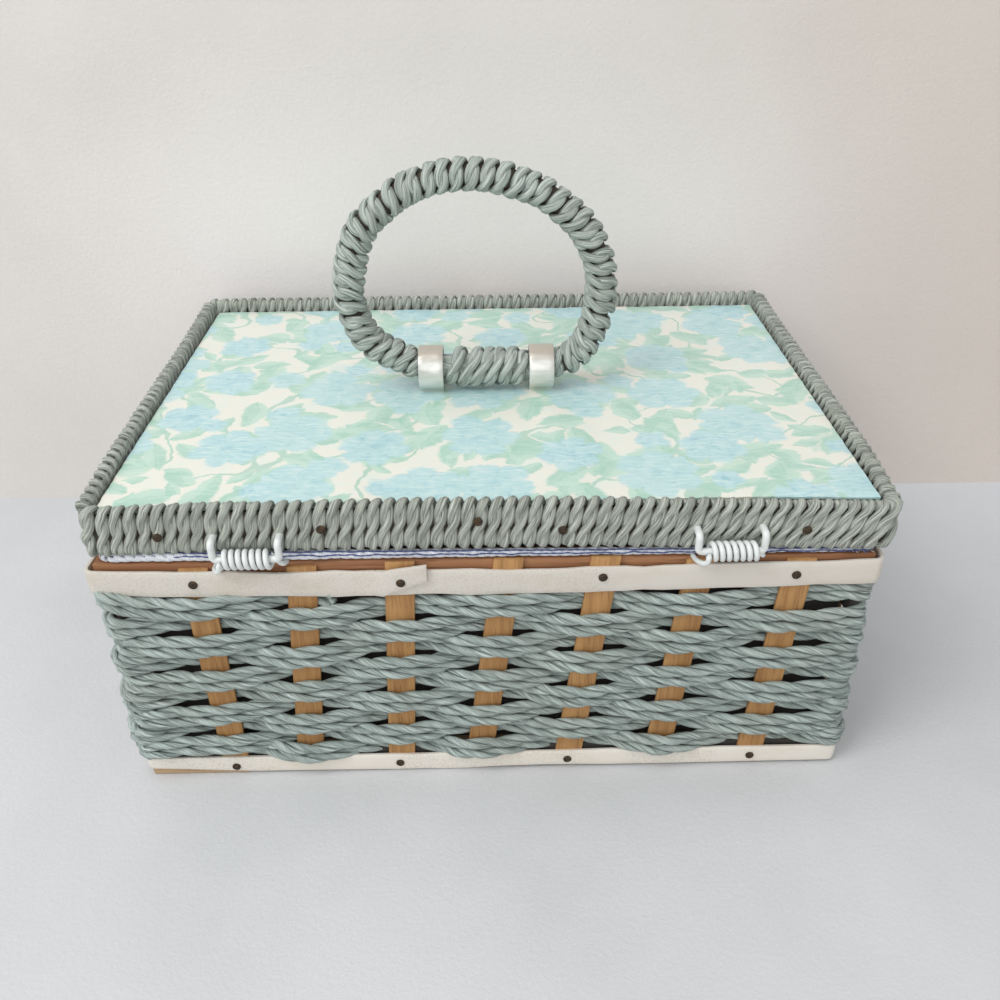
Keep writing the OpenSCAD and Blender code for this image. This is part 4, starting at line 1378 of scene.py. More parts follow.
@dataclass
class BindingStrip:
    """A white strip tacked round the basket, its ends lapped. Sizes in millimetres."""

    name: str
    node: str
    low: float
    high: float
    lap_side: Side
    under: float = -40.0
    over: float = -22.0
    half: tuple[float, float] = (140.0, 97.0)
    radius: float = 3.2
    thickness: float = 1.3
    rows: int = 4
    seed: int = 3
    lifted: float = 0.0
    sag: float = 0.0
    spread: float = 0.0

    def _path(self) -> bpy.types.Object:
        """The strip's lower edge, open at the lap, both ends drawn over it."""
        x, y = (h - self.thickness / 2 for h in self.half)
        piece = Bench.loop(x, y, self.radius - self.thickness / 2, self.low)
        with Bench.editing(piece):
            Bench.pick(piece, "edges", lambda e: e.calc_length() > 200 * MM)
            bpy.ops.mesh.subdivide(number_cuts=39)
            Bench.pick(piece, "edges", lambda e: e.calc_length() > 100 * MM)
            bpy.ops.mesh.subdivide(number_cuts=27)
            Bench.pick(piece, "verts", lambda v: v.co.y < -y * 0.99 * MM
                       and self.under * MM <= v.co.x <= self.over * MM)
            bpy.ops.mesh.delete(type="VERT")
            front = [v.co.x for v in bmesh.from_edit_mesh(piece.data).verts if v.co.y < -y * 0.99 * MM]
            left, right = max(v for v in front if v < self.under * MM), min(v for v in front if v > self.over * MM)
            Bench.pick(piece, "verts", lambda v: v.co.y < -y * 0.99 * MM and abs(v.co.x - right) < 1e-5)
            for _ in range(4):
                bpy.ops.mesh.extrude_vertices_move(
                    TRANSFORM_OT_translate={"value": ((self.under * MM - right) / 4, 0, 0)})
            Bench.pick(piece, "verts", lambda v: v.co.y < -y * 0.99 * MM and abs(v.co.x - left) < 1e-5)
            for out in (0.75, 0.7, 0.0, 0.0, 0.0, 0.1):
                bpy.ops.mesh.extrude_vertices_move(
                    TRANSFORM_OT_translate={"value": ((self.over * MM - left) / 6, -out * MM, 0)})
        return piece

    def build(self, material: bpy.types.Material) -> None:
        """Draws the strip up from its edge, makes it a little uneven and gives it its thickness.

        Args:
            material: The white binding.
        """
        piece = self._path()
        with Bench.editing(piece):
            Bench.draw_up(self.rows, (self.high - self.low) / self.rows)
        for v in piece.data.vertices:
            share = (v.co.z / MM - self.low) / (self.high - self.low) * 2 - 1
            along = math.atan2(v.co.y, v.co.x) * 120 + v.co.x / MM * 0.5
            v.co.z += (0.3 * waver(along, 70, self.seed) + 0.12 * waver(along, 19, self.seed + 1)) * share * MM
            v.co.z += 0.3 * waver(along, 150, self.seed + 2) * MM
            # Seen from the hinge side, whichever side has the lap
            facing = 1 if self.lap_side is Side.HINGE else -1
            x, y = facing * v.co.x / MM, facing * v.co.y / MM
            front = max(0.0, min(1.0, (-y - 80) / 15))
            # Its lower edge may be lifted at the left end, and it may sag in its middle
            v.co.z += self.lifted * max(0.0, min(1.0, (-95 - x) / 40)) * front * (0.5 - share * 0.5) * MM
            v.co.z -= self.sag * front * (1 - (x / 140) ** 2) * MM
            # The outer end of the lap narrows and runs up
            if y < -(self.half[1] + 0.4) and x > self.under - 4 and self.lap_side is Side.HINGE:
                end = min(1.0, (x - self.under + 4) / 22)
                v.co.z += (3.4 * end * (0.5 + share * 0.5) + (7.2 * end - 0.9) * (0.5 - share * 0.5)) * MM
            push = 1 + (0.12 * (1 - share * share) + 0.05 * waver(along, 33, self.seed + 3)) / 97
            v.co.x, v.co.y = v.co.x * (1 + (push - 1) * 0.6), v.co.y * push
            v.co.x -= facing * self.spread * (x < 0) * math.exp(-((y + 97) / 30) ** 2) * max(0, -x / 140) ** 6 * MM
        Bench.thicken(piece, self.thickness)
        Bench.soften(piece, 0.25)
        if self.lap_side is Side.CLASP:
            piece.rotation_euler[2] = math.pi
            Bench.still(piece)
        Bench.finish(piece, self.name, 45)
        hand_over(piece, Body.BASKET, Slot.STRIP, material, self.node)


@dataclass
class MouthRails:
    """Four wooden rails round the basket's mouth, butted at the corners. Sizes in millimetres."""

    half: tuple[float, float] = (137.2, 94.2)
    depth: float = 8.0
    low: float = 92.0
    high: float = 103.8

    def build(self, along_x: bpy.types.Material, along_y: bpy.types.Material) -> None:
        """Cuts the rails, with slightly rough edges.

        Args:
            along_x: Wood for the long rails.
            along_y: Wood for the end rails.
        """
        for side in Side:
            reach = self.half[1] - self.depth if side.is_end else self.half[0]
            out = self.half[0] if side.is_end else self.half[1]
            piece = Bench.block((-reach, -out, self.low), (reach, self.depth - out, self.high))
            with Bench.editing(piece):
                Bench.pick(piece, "edges", lambda e: abs((e.verts[0].co - e.verts[1].co).x) > 50 * MM)
                bpy.ops.mesh.subdivide(number_cuts=89)
            for v in piece.data.vertices:
                x = v.co.x / MM
                if side is Side.HINGE:
                    v.co.z -= 0.5 * x / 140 * MM
                    v.co.x -= 2.2 * MM if x < 1 - reach else 0
                if abs(x) < reach - 1 and v.co.y < -(out - 1) * MM:
                    v.co.z += (0.2 * waver(x, 11, 201 + side.value) + 0.16 * waver(x, 4, 205)) * MM
                    v.co.y += 0.15 * abs(waver(x, 9, 209 + side.value)) * MM
            piece.data.transform(turned(side))
            Bench.soften(piece, 0.35)
            Bench.finish(piece, f"mouth_rail_{side.name.lower()}", 45)
            hand_over(piece, Body.BASKET, Slot.RAIL, along_y if side.is_end else along_x, f"top_rail_{side.label}")


@dataclass
class RimBraid:
    """White and blue thread twisted round the rail's top. Sizes in millimetres."""

    white: CordShape = CordShape(plies=3, twist=11.0, offset_out=0.95, offset_side=0.85, ply_out=1.0, ply_side=1.25,
                                 corners=7)
    blue: CordShape = CordShape(plies=2, twist=5.0, offset_out=0.13, offset_side=0.13, ply_out=0.17, ply_side=0.2,
                                corners=5)
    top: float = 103.6

    def build(self, white: bpy.types.Material, blue: bpy.types.Material) -> None:
        """Lays the white rope and two blue threads on it.

        Args:
            white: The white thread.
            blue: The blue thread.
        """
        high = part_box("rim_braid")[1]
        half_x, half_y = high.x / MM - 1.5, high.y / MM - 1.5
        route = Round(half_x, half_y, 2.5)
        s = np.arange(0.0, route.total - 0.4, 0.85)
        place, away = route.at(s)
        # The lid rests on it towards the hinge side's right end, and presses it flat
        rests = np.clip((-place[:, 1] - 60) / 32, 0, 1) * np.clip((place[:, 0] + 60) / 200, 0, 1)
        flat = 1 - 0.42 * rests
        place[:, 2] = self.top + 0.5 - 0.5 * place[:, 0] / 140 * (place[:, 1] < -80) + 1.95 * flat
        centre = place + away * (0.12 * waver(s, 23, 61))[:, None]
        centre[:, 2] += 0.1 * waver(s, 31, 62)
        tubes = self.white.strands(centre * MM, away, fat=flat)
        for number, (out, up) in enumerate(((1.1, 1.75), (1.95, 0.75))):
            line = place + away * (out + 0.15 * waver(s, 17, 71 + number))[:, None]
            line[:, 2] += (up + (0.1, 0.3)[number] * waver(s, 13, 81 + number)) * flat
            line -= away * (0.9 * np.clip((-place[:, 0] - 96) / 22, 0, 1) * (place[:, 1] < -80))[:, None]
            tubes += self.blue.strands(line * MM, away, finish=1)
        tubes += self._frayed(half_x, half_y, self.top + 1.4)
        piece = tube_mesh("rim_braid_threads", tubes)
        piece.data.materials.append(white)
        piece.data.materials.append(blue)
        hand_over(piece, Body.BASKET, Slot.BRAID, white, "rim_braid")

    def _frayed(self, half_x: float, half_y: float, z: float) -> list[Tube]:
        """Loose fibres where the braid ends, at the hinge side's right corner."""
        draw = np.random.default_rng(17)
        tubes = []
        for number in range(16):
            start = np.array([half_x - draw.uniform(1, 9), -half_y - draw.uniform(-0.2, 0.9),
                              z + draw.uniform(-0.8, 0.9)])
            way = np.array([draw.uniform(0.2, 1.0), draw.uniform(-1.0, -0.2), draw.uniform(-0.9, 0.2)])
            way = way / np.linalg.norm(way) * draw.uniform(1.2, 3.0)
            middle = start + way * 0.5 + draw.uniform(-0.5, 0.5, 3)
            line = flowing([start - way * 0.4, start, middle, start + way], 0.4)
            tubes.append(round_tube(line, 0.11, 5, number % 2))
        return tubes


@dataclass
class HingeCoil:
    """A coil of coated wire with both ends in the rail. Sizes in millimetres."""

    name: str
    node: str
    middle: float
    axis: tuple[float, float] = (-99.614, 109.5)
    coil_radius: float = 2.81
    wire: float = 0.95
    turns: float = 7.5
    pitch: float = 2.35

    def build(self, material: bpy.types.Material) -> None:
        """Winds the coil and leads its ends down into the rail.

        Args:
            material: The coated wire.
        """
        half = self.turns * self.pitch / 2
        y, z = self.axis
        angle = np.linspace(math.pi, math.pi + self.turns * 2 * math.pi, int(self.turns * 20) + 1)
        x = self.middle - half + (angle - math.pi) / (2 * math.pi) * self.pitch
        coil = np.stack([x, y + self.coil_radius * np.cos(angle), z + self.coil_radius * np.sin(angle)], -1) * MM
        left, right = self.middle - half, self.middle + half
        r = self.coil_radius
        lead = flowing([(left - 3.4, -92.5, 103.2), (left - 3.2, -96.0, 104.0), (left - 2.6, y + 0.4, 105.0),
                        (left - 1.2, y - r * 0.75, 105.9), (left - 0.15, y - r * 0.98, 107.2), (left, y - r, z)], 0.8)
        tail = flowing([(right, y + r, z), (right + 0.35, y + r * 0.98, 108.4), (right + 1.4, y + r * 0.9, 106.9),
                        (right + 2.8, y + r * 0.9 + 0.5, 105.4), (right + 3.4, -94.4, 104.2),
                        (right + 3.6, -91.5, 103.2)], 0.8)
        line = np.concatenate([lead[:-1], coil, tail[1:]])
        piece = tube_mesh(self.name, [round_tube(line, self.wire, 12)])
        hand_over(piece, Body.BASKET, Slot.WIRE, material, self.node)


# The lid


@dataclass
class BorderWrap:
    """Paper cord wound round the lid's border, in four pieces, and the lath in it. Sizes in millimetres."""

    route: Round = field(default_factory=lambda: Round(136.8, 92.3, 4.0))
    middle: float = 119.1
    half_out: float = 1.5
    half_up: float = 8.5
    bend: float = 0.9
    pitch: float = 4.55
    rings: int = 28
    cord: CordShape = CordShape(twist=18.0, offset_out=0.6, offset_side=1.1, ply_out=1.12, ply_side=1.4, flare=0.22,
                                corners=8, pressed=True)

    def lath(self, material: bpy.types.Material) -> None:
        """Bends the thin lath that the cord is wound on.

        Args:
            material: The lath's dark wood, its darkness partly painted shade.
        """
        piece = Bench.loop(self.route.half_x, self.route.half_y, self.route.radius, self.middle - 7.2)
        with Bench.editing(piece):
            Bench.pick(piece, "edges", lambda e: e.calc_length() > 100 * MM)
            bpy.ops.mesh.subdivide(number_cuts=19)
            Bench.draw_up(3, 4.6)
        for v in piece.data.vertices:
            v.co = Vector(settled(np.array(v.co) / MM)) * MM
        Bench.thicken(piece, 2.4)
        Bench.soften(piece, 0.4)
        Bench.finish(piece, "border_lath", 50)
        hand_over(piece, Body.LID, Slot.CORE, material, "lid_hoop")

    def _section(self, u: Array) -> tuple[Array, Array]:
        """The loop round the border.

        Args:
            u: Shares of the loop, from the middle of the inner face, down and then up on the outer face.

        Returns:
            Places as (out, up) in millimetres, and the loop's outward directions.
        """
        a, b, r = self.half_out, self.half_up, self.bend
        arc = math.pi / 2 * r
        parts = [b - r, arc, 2 * (a - r), arc, 2 * (b - r), arc, 2 * (a - r), arc, b - r]
        total = sum(parts)
        d = np.mod(u, 1.0) * total
        corners = [(-(a - r), -(b - r), math.pi), (a - r, -(b - r), 1.5 * math.pi), (a - r, b - r, 0.0),
                   (-(a - r), b - r, 0.5 * math.pi)]
        straights = [((-a, 0), (0, -1), (-1, 0)), ((-(a - r), -b), (1, 0), (0, -1)), ((a, -(b - r)), (0, 1), (1, 0)),
                     ((a - r, b), (-1, 0), (0, 1)), ((-a, b - r), (0, -1), (-1, 0))]
        place, way = np.zeros((len(d), 2)), np.zeros((len(d), 2))
        start = 0.0
        for number, part in enumerate(parts):
            here = (d >= start) & (d <= start + part + 1e-9)
            t = d[here] - start
            if number % 2 == 0:
                origin, move, normal = straights[number // 2]
                place[here] = np.array(origin) + t[:, None] * np.array(move)
                way[here] = normal
            else:
                x, y, angle = corners[number // 2]
                turn = angle + t / r
                way[here] = np.stack([np.cos(turn), np.sin(turn)], -1)
                place[here] = np.array([x, y]) + r * way[here]
            start += part
        return place, way

    def build(self, material: bpy.types.Material) -> None:
        """Winds the cord round the whole border and cuts it at the corners, on the inner face.

        Args:
            material: The paper cord.
        """
        wraps = int(round(self.route.total / self.pitch / 2)) * 2
        pitch = self.route.total / wraps
        u = np.arange(wraps * self.rings + 1) / self.rings
        loose = np.interp(u, np.arange(wraps + 1), np.random.default_rng(8).uniform(-0.3, 0.3, wraps + 1))
        section, way = self._section(u)
        first, outward = self.route.at(u * pitch)
        slant = np.clip(-outward[:, 1], 0, 1) * (0.04 + 0.22 * np.clip(first[:, 0] / 110, 0, 1))
        s = u * pitch + loose + slant * section[:, 1]
        base, away = self.route.at(s)
        up = np.array([0, 0, 1.0])
        squeeze = 1 + 0.02 * waver(s, 40, 91)
        level = self.middle + section[:, 1] + 1.2 * np.clip((base[:, 1] - 50) / 40, 0, 1) + 0.12 * waver(s, 60, 92)
        centre = settled(base + away * (section[:, :1] * squeeze[:, None]) + up * level[:, None])
        out = away * way[:, :1] + up * way[:, 1:]
        fat = 1 + 0.3 * abs(2 * away[:, 0] * away[:, 1])
        # The twist makes four half turns on each loop, so that its fingers stand in a row, and drifts slowly
        turn = -u * 4 * math.pi
        drift = 0.9 + 0.45 * waver(s, 420, 93) + np.interp(u, np.arange(wraps + 1),
                                                            np.random.default_rng(9).uniform(-0.22, 0.22, wraps + 1))
        along = lengths(centre * MM)
        natural = -along / (self.cord.twist * MM) * 2 * math.pi
        tubes = self.cord.strands(centre * MM, out, turn + drift - natural, fat=fat)
        quarter = math.pi / 4 * self.route.radius
        edges = [int(round((self.route.start(side) - quarter) / pitch)) * self.rings for side in Side]
        edges = [0 if e < 0 else e for e in edges] + [wraps * self.rings]
        for side, a, b in zip(Side, edges, edges[1:]):
            part = [t.cut(a, b) for t in tubes]
            hand_over(tube_mesh(f"border_wrap_{side.name.lower()}", part), Body.LID, Slot.CORD, material,
                      f"winding_{side.label}")


@dataclass
class CoveredPanel:
    """The lid's printed cloth under clear vinyl, stretched on its board. Sizes in millimetres."""

    half: tuple[float, float] = (132.3, 87.8)
    low: float = 124.15
    high: float = 125.05
    reach: float = 1.2

    def build(self, material: bpy.types.Material) -> None:
        """Makes a thin sheet with a faint pucker along its edges.

        Args:
            material: The printed cloth.
        """
        Bench.clear()
        bpy.ops.mesh.primitive_plane_add(size=2 * MM, location=(0, 0, (self.low + self.high) / 2 * MM))
        piece = Bench.still(bpy.context.active_object)
        with Bench.editing(piece):
            bpy.ops.mesh.select_all(action="SELECT")
            bpy.ops.transform.resize(value=(*self.half, 1))
            bpy.ops.mesh.subdivide(number_cuts=79)
        for v in piece.data.vertices:
            x, y = v.co.x / MM, v.co.y / MM
            rim = min(self.half[0] - abs(x), self.half[1] - abs(y))
            pucker = math.exp(-rim / 9) * 0.16 * waver(x + 1.7 * y, 21, 101)
            v.co.z += (0.1 * waver(x, 90, 102) * waver(y, 70, 103) + pucker - 0.25 * math.exp(-rim / 2.5)) * MM
            moved = settled(np.array((x, y, v.co.z / MM)), (2.8, 3.4))
            v.co.x, v.co.y = moved[0] * MM, (moved[1] - self.reach * max(0.0, -y / self.half[1]) ** 2) * MM
        Bench.modify(piece, "SOLIDIFY", thickness=(self.high - self.low) * MM, offset=0)
        Bench.finish(piece, "panel_cloth", 60)
        hand_over(piece, Body.LID, Slot.PRINT, material, "lid_print", "vinyl_cover")


@dataclass
class PearlStrap:
    """A strap over the handle's bar, its feet under the board. Sizes in millimetres."""

    name: str
    node: str
    middle: float
    width: float = 10.2
    reach: float = 8.6
    axle: float = 134.2
    leg: float = 3.4
    board: float = 117.0
    foot: float = 18.5
    thickness: float = 1.1

    def _profile(self) -> list[tuple[float, float]]:
        """Half-way line of the strap, as (y, z), from foot to foot."""
        start = math.radians(-62)
        arc = [(-self.reach * math.cos(a), self.axle + self.reach * math.sin(a))
               for a in np.linspace(start, math.pi - start, 27)]
        legs = [(-self.leg, 119.0), (-self.leg, 122.0), (-self.leg - 0.1, 124.0), (-self.leg - 0.3, 125.4)]
        left = [(-self.foot, self.board), (-12.0, self.board), (-self.leg - 1.0, self.board + 0.1),
                (-self.leg - 0.15, 117.7), *legs]
        return [*left, *arc, *[(-y, z) for y, z in reversed(left)]]

    def build(self, material: bpy.types.Material) -> None:
        """Draws an edge along the strap's line and gives it its thickness.

        Args:
            material: The pearly plastic.
        """
        line = self._profile()
        Bench.clear()
        bpy.ops.mesh.primitive_plane_add(size=self.width * MM,
                                         location=(self.middle * MM, (line[0][0] - self.width / 2) * MM,
                                                   line[0][1] * MM))
        piece = Bench.still(bpy.context.active_object)
        with Bench.editing(piece):
            far = line[0][0] * MM
            Bench.pick(piece, "verts", lambda v: v.co.y < far - 1 * MM)
            bpy.ops.mesh.delete(type="VERT")
            bpy.ops.mesh.select_all(action="SELECT")
            bpy.ops.mesh.subdivide(number_cuts=3)
            for (y0, z0), (y1, z1) in zip(line, line[1:]):
                bpy.ops.mesh.extrude_edges_move(
                    TRANSFORM_OT_translate={"value": (0, (y1 - y0) * MM, (z1 - z0) * MM)})
            Bench.face_out()
        Bench.thicken(piece, self.thickness)
        Bench.soften(piece, 0.3, 50)
        Bench.finish(piece, self.name, 50)
        hand_over(piece, Body.LID, Slot.STRAP, material, self.node)


# The handle


@dataclass
class RingHandle:
    """A ring of lath wound with paper cord. Sizes in millimetres, its points' heights counted from its level."""

    points: tuple[tuple[float, float], ...] = (
        (-54.3, 43.9), (-51.5, 57.4), (-46.8, 68.2), (-39.2, 75.5), (-31.4, 81.4), (-22.1, 85.4), (-13.0, 87.5),
        (-3.1, 87.8), (6.2, 86.4), (13.9, 84.0), (22.2, 80.8), (30.1, 75.0), (37.9, 67.9), (42.5, 59.8), (45.5, 51.9),
        (46.3, 41.5), (45.0, 30.4), (40.8, 19.3), (34.8, 12.9), (27.8, 10.0), (18.1, 8.6), (0.8, 8.2), (-16.5, 8.8),
        (-28.3, 10.5), (-35.2, 14.3), (-44.4, 19.1), (-50.0, 25.8), (-53.5, 35.8))
    wraps: int = 54
    rings: int = 22
    wound: float = 5.1
    core: float = 4.3
    level: float = 125.0
    bar_half: float = 17.0
    strap_at: float = 22.8
    filler: float = 5.7
    cord: CordShape = CordShape(twist=17.0, offset_out=0.6, offset_side=1.25, ply_out=1.15, ply_side=1.55, flare=0.25,
                                corners=8, pressed=True)

    def build(self, cord: bpy.types.Material, core: bpy.types.Material) -> None:
        """Winds the cord round the ring.

        Args:
            cord: The paper cord.
            core: The lath inside, its darkness partly painted shade.
        """
        line = flowing([(x, 0.0, self.level + h) for x, h in self.points], 1.0, closed=True)
        along = lengths(line)
        u = np.arange(self.wraps * self.rings + 1) / self.rings
        loose = np.interp(u, np.arange(self.wraps + 1), np.random.default_rng(12).uniform(-0.16, 0.16, self.wraps + 1))
        loose[0] = loose[-1] = 0
        s = np.mod((u + loose) / self.wraps * along[-1], along[-1])
        base = np.stack([np.interp(s, along, line[:, i]) for i in range(3)], -1)
        ahead = np.gradient(line, axis=0)
        ahead = unit(np.stack([np.interp(s, along, ahead[:, i]) for i in range(3)], -1))
        across = np.broadcast_to(np.array([0, -1.0, 0]), base.shape)
        outer = np.cross(across, ahead)
        angle = -u * 2 * math.pi
        way = outer * np.cos(angle)[:, None] + across * np.sin(angle)[:, None]
        aside, lower = abs(base[:, 0] / MM), base[:, 2] < (self.level + 25) * MM
        bar = np.clip((self.bar_half - aside) / 4, 0, 1) * lower
        held = np.exp(-((aside - self.strap_at) / 7.5) ** 4) * lower
        centre = base + way * ((self.wound + 0.12 * waver(u, 7, 111) + 1.6 * bar - 1.25 * held) * MM)[:, None]
        # The bar's wraps slant, and stand a little above the axle
        centre[:, 0] += (0.3 + 0.16 * waver(u, 5, 113)) * (centre[:, 2] - base[:, 2]) * bar
        centre[:, 2] += 1.0 * MM * bar
        walked = lengths(centre)
        natural = -walked / (self.cord.twist * MM) * 2 * math.pi
        drift = 0.6 + 0.5 * waver(u, 19, 112)
        tubes = self.cord.strands(centre, way, -u * 4 * math.pi + drift - natural)
        inside = np.concatenate([line[:-1], line[:1]])
        tubes.append(round_tube(inside, self.core, 12, finish=1))
        filler = flowing([(-18.5, 0, 134.0), (-15.0, 0, 134.1), (0.5, 0, 134.2), (16.0, 0, 134.1),
                          (19.5, 0, 134.0)], 1.0)
        tubes.append(round_tube(filler, self.filler, 14))
        piece = tube_mesh("ring_handle", tubes)
        piece.data.materials.append(cord)
        piece.data.materials.append(core)
        hand_over(piece, Body.HANDLE, Slot.CORD, cord, "handle_core", "handle_winding")


# The photograph's setting


@dataclass
class Studio:
    """Pale table and wall, soft lamps and the camera."""

    eye: tuple[float, float, float] = (0.00014, -0.36701, 0.30501)
    yaw: float = 0.792
    pitch: float = 32.887
    roll: float = -0.531
    lens: float = 34.56
    sensor: float = 36.0
    wall: float = 0.1157

    def camera(self) -> None:
        """Sets the camera where the photograph was taken."""
        yaw, pitch, roll = (math.radians(a) for a in (self.yaw, self.pitch, self.roll))
        ahead = Vector((math.sin(yaw) * math.cos(pitch), math.cos(yaw) * math.cos(pitch), -math.sin(pitch)))
        right = Vector((math.cos(yaw), -math.sin(yaw), 0))
        up = right.cross(ahead)
        x = math.cos(roll) * right + math.sin(roll) * up
        y = -math.sin(roll) * right + math.cos(roll) * up
        data = bpy.data.cameras.new("camera")
        data.lens, data.sensor_width, data.clip_start = self.lens, self.sensor, 0.01
        camera = bpy.data.objects.new("camera", data)
        camera.matrix_world = Matrix.Translation(self.eye) @ Matrix((x, y, -ahead)).transposed().to_4x4()
        bpy.context.scene.collection.objects.link(camera)
        bpy.context.scene.camera = camera

    def _surface(self, name: str, pale: Rgb, tone: Rgb, one_sided: bool) -> bpy.types.Material:
        """Plain painted surface with faint specks and clouds; one-sided, it is seen from the front, takes no light,
        and has painted light low down and painted shade to the right.

        Args:
            name: Its name.
            pale: Its lighter colour.
            tone: Its darker colour.
            one_sided: Whether only what looks at its front meets it, and whether it has the painted light and shade.

        Returns:
            The material.
        """
        s = ShaderSheet(name)
        cloud = s.noise(s.coords(), 6, 4.0, 0.6)
        speck = s.noise(s.coords(), 500, 2.0, 0.7)
        color = s.mix(cloud.rise(0.35, 0.7), pale, tone)
        color = s.mix(speck.rise(0.72, 0.8) * 0.25, color, (150, 148, 145))
        if one_sided:
            # Painted light on the wall: lighter low down, most behind the basket; and painted shade, darker and warmer
            # towards the right.
            aside, low = s.axis(s.coords(), "X"), s.axis(s.coords(), "Z").rise(0.25, 0.12)
            color = s.mix(low * (abs(aside).rise(0.24, 0.08) * 0.4 + 0.16), color, (250, 248, 246))
            color = s.mix(aside.rise(0.02, 0.3) * 0.45, color, (206, 190, 176))
        made = s.done(Base_Color=color, Roughness=0.75, Normal=s.bump(speck + cloud, 0.0002), Specular_IOR_Level=0.2)
        if one_sided:
            looks = [s.node("ShaderNodeLightPath", {}, {}, kind) for kind in
                     ("Is Camera Ray", "Is Glossy Ray", "Is Transmission Ray")]
            met = looks[0].most(looks[1]).most(looks[2]) * (1 - s.node("ShaderNodeNewGeometry", {}, {}, "Backfacing"))
            clear = s.node("ShaderNodeBsdfTransparent", {}, {})
            both = s.node("ShaderNodeMixShader", {}, {0: met, 1: clear, 2: Value(s, s.shader.outputs[0])})
            s.tree.links.new(both.socket, s.tree.nodes["Material Output"].inputs["Surface"])
        return made

    def backdrop(self) -> None:
        """Adds the table and the wall."""
        for name, place, turn, size, pale, tone in (
                ("table", (0, 0, -0.0002), (0, 0, 0), 6.0, (206, 207, 209), (197, 199, 200)),
                ("wall", (0, self.wall, 1.0), (math.pi / 2, 0, 0), 4.0, (219, 214, 209), (210, 205, 199))):
            Bench.clear()
            bpy.ops.mesh.primitive_plane_add(size=size, location=place, rotation=turn)
            piece = Bench.still(bpy.context.active_object)
            piece.name = piece.data.name = name
            piece.data.materials.append(self._surface(name, pale, tone, name == "wall"))

    def lamps(self) -> None:
        """Adds soft area lamps and an even world."""
        world = bpy.data.worlds.new("room")
        world.use_nodes = True
        ground = world.node_tree.nodes["Background"]
        ground.inputs["Color"].default_value = linear((240, 240, 241))
        ground.inputs["Strength"].default_value = 0.68
        bpy.context.scene.world = world
        for name, place, size, power in (("key", (-1.0, -0.8, 1.5), 1.0, 15.0), ("fill", (-0.1, -1.5, 0.8), 1.2, 6.0),
                                         ("top", (-0.5, -0.1, 1.8), 1.2, 6.0)):
            data = bpy.data.lights.new(name, "AREA")
            data.shape, data.size, data.energy = "DISK", size, power
            lamp = bpy.data.objects.new(name, data)
            lamp.location = place
            lamp.rotation_euler = (Vector((0, 0, 0.08)) - Vector(place)).to_track_quat("-Z", "Y").to_euler()
            bpy.context.scene.collection.objects.link(lamp)


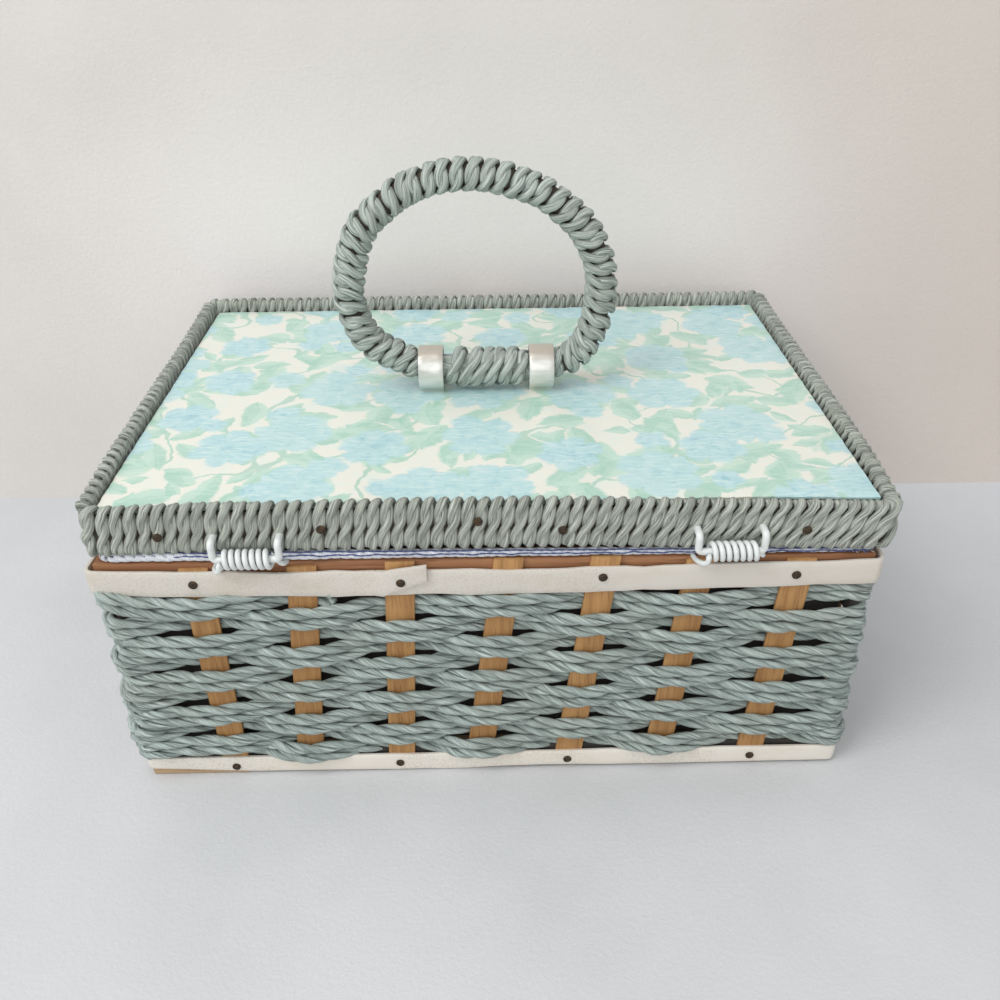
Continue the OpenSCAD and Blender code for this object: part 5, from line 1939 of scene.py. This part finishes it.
@dataclass
class SewingBasket:
    """The whole basket, piece by piece."""

    def dress_frame(self, shades: dict[str, bpy.types.Material]) -> None:
        """Gives the CAD nodes that stay their materials.

        Args:
            shades: Materials by the start of a node's name.
        """
        for name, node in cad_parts.items():
            for start, material in shades.items():
                if name.startswith(start):
                    node.data.materials.clear()
                    node.data.materials.append(material)
                    LOG.info("%s: kept, %s", name, material.name)
                    break

    def tacks(self, metal: bpy.types.Material) -> None:
        """Drives all visible tacks.

        Args:
            metal: The tacks' metal.
        """
        long, end = (-104.6, -31.4, 40.1, 108.9), (-67.6, 2.4, 72.4)
        top = [(Side.HINGE, x, z, 98.45 if x == -31.4 else 97.1) for x, z in zip(long, (97.0, 97.3, 97.2, 96.8))]
        top += [(Side.CLASP, x, 97.05, 97.1) for x in (-102.6, -32.6, 37.4, 107.4)]
        top += [(side, x, 97.05, 140.1) for side in (Side.RIGHT, Side.LEFT) for x in end]
        Tacks().group("top_strip_tacks", top, Body.BASKET, metal, "top_strip_nails")
        low = [(Side.HINGE, x, z, 97.1) for x, z in ((-103.7, 4.2), (-37.5, 4.6), (30.2, 4.9), (104.4, 5.0))]
        low += [(Side.CLASP, x, 5.05, 98.45 if x == -37.5 else 97.1) for x in (-107.5, -37.5, 32.5, 102.5)]
        low += [(side, x - 4.9, 5.05, 140.1) for side in (Side.RIGHT, Side.LEFT) for x in end]
        Tacks().group("bottom_strip_tacks", low, Body.BASKET, metal, "bottom_strip_nails")
        lid = [(Side.HINGE, x, z, 95.4) for x, z in ((-113.5, 117.7), (-57.5, 119.4), (-3.7, 121.6), (25.4, 117.8),
                                                     (109.9, 118.6))]
        lid += [(Side.CLASP, x, 118.9, 95.4) for x in (-110.5, -39.0, 39.0, 110.5)]
        lid += [(side, x, 118.9, 139.9) for side in (Side.RIGHT, Side.LEFT) for x in (-60.0, 3.0, 60.0)]
        Tacks().group("border_tacks", lid, Body.LID, metal, "lid_nails")

    def build(self) -> None:
        """Builds and dresses every piece."""
        cord = PaperCordFinish().material()
        metal = NailFinish().material()
        strip = StripFinish().material()
        wire = WireFinish().material()
        strap = StrapFinish().material()
        rail_x = WoodFinish("rail wood", "X", (166, 120, 84), (132, 88, 60), (78, 48, 32), fineness=0.8)
        rail_y = WoodFinish("end rail wood", "Y", (166, 120, 84), (132, 88, 60), (78, 48, 32), fineness=0.8)
        board = WoodFinish("base wood", "X", (186, 160, 126), (162, 134, 100), (114, 90, 64)).material()
        veneer = WoodFinish("veneer", "Z", (186, 143, 92), (156, 114, 70), (100, 70, 42), fineness=1.7).material()
        turned_wood = WoodFinish("turned wood", "Y", (206, 172, 128), (184, 146, 102), (140, 104, 68), 0.4).material()
        # The lath's near-black colour is partly aged wood and partly painted shade, for what shows through the gaps of
        # the windings.
        lath = WoodFinish("lath", "X", (74, 66, 54), (56, 50, 42), (36, 32, 28)).material()
        border_cord = PaperCordFinish("border cord", (212, 217, 207), (180, 186, 175), (98, 104, 94), True).material()
        ring_cord = PaperCordFinish("handle cord", (215, 224, 216), (186, 197, 189), (98, 108, 102), True).material()
        lining = LiningFinish().material()
        self.dress_frame({
            "base_board": board, "lid_board": board, "lining": lining,
            "lid_lining": LiningFinish("lid lining", (1.0, 1.0)).material(), "clasp_knob": turned_wood,
            "clasp_plate_nails": metal, "strap_tacks": metal, "clasp_plate": MetalFinish().material(),
            "clasp_loop": wire, "hinge_wire": wire})
        splints = Splints()
        splints.build(veneer)
        WovenWall(splints).build(cord)
        Backing().build(lining, board)
        BindingStrip("binding_top", "top_strip", 92.5, 103.0, Side.HINGE, sag=2.1, spread=2.4).build(strip)
        # The lower strip's finish is painted lighter than the top strip's: painted light, since the strip low down
        # gets less light.
        BindingStrip("binding_bottom", "bottom_strip", 1.0, 9.1, Side.CLASP, seed=13, lifted=2.6).build(
            StripFinish("lower white strip with painted light", (228, 222, 211), (212, 200, 178)).material())
        MouthRails().build(rail_x.material(), rail_y.material())
        self.tacks(metal)
        RimBraid().build(ThreadFinish("white thread", (236, 238, 240), (196, 202, 212)).material(),
                         ThreadFinish("blue thread", (80, 95, 150), (50, 62, 106)).material())
        HingeCoil("coil_left", "hinge_coil_left", -83.7).build(wire)
        HingeCoil("coil_right", "hinge_coil_right", 84.2).build(wire)
        border = BorderWrap()
        border.lath(lath)
        border.build(border_cord)
        CoveredPanel().build(FloralPrintFinish().material())
        ring = RingHandle()
        PearlStrap("pearl_strap_left", "strap_left", -ring.strap_at).build(strap)
        PearlStrap("pearl_strap_right", "strap_right", ring.strap_at).build(strap)
        ring.build(ring_cord, lath)


def main() -> None:
    """Builds the scene."""
    logging.basicConfig(level=logging.INFO, format="%(name)s %(message)s")
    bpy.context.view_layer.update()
    bpy.context.scene.view_settings.view_transform = "Standard"
    studio = Studio()
    studio.camera()
    SewingBasket().build()
    studio.backdrop()
    studio.lamps()


if __name__ == "__main__":
    main()
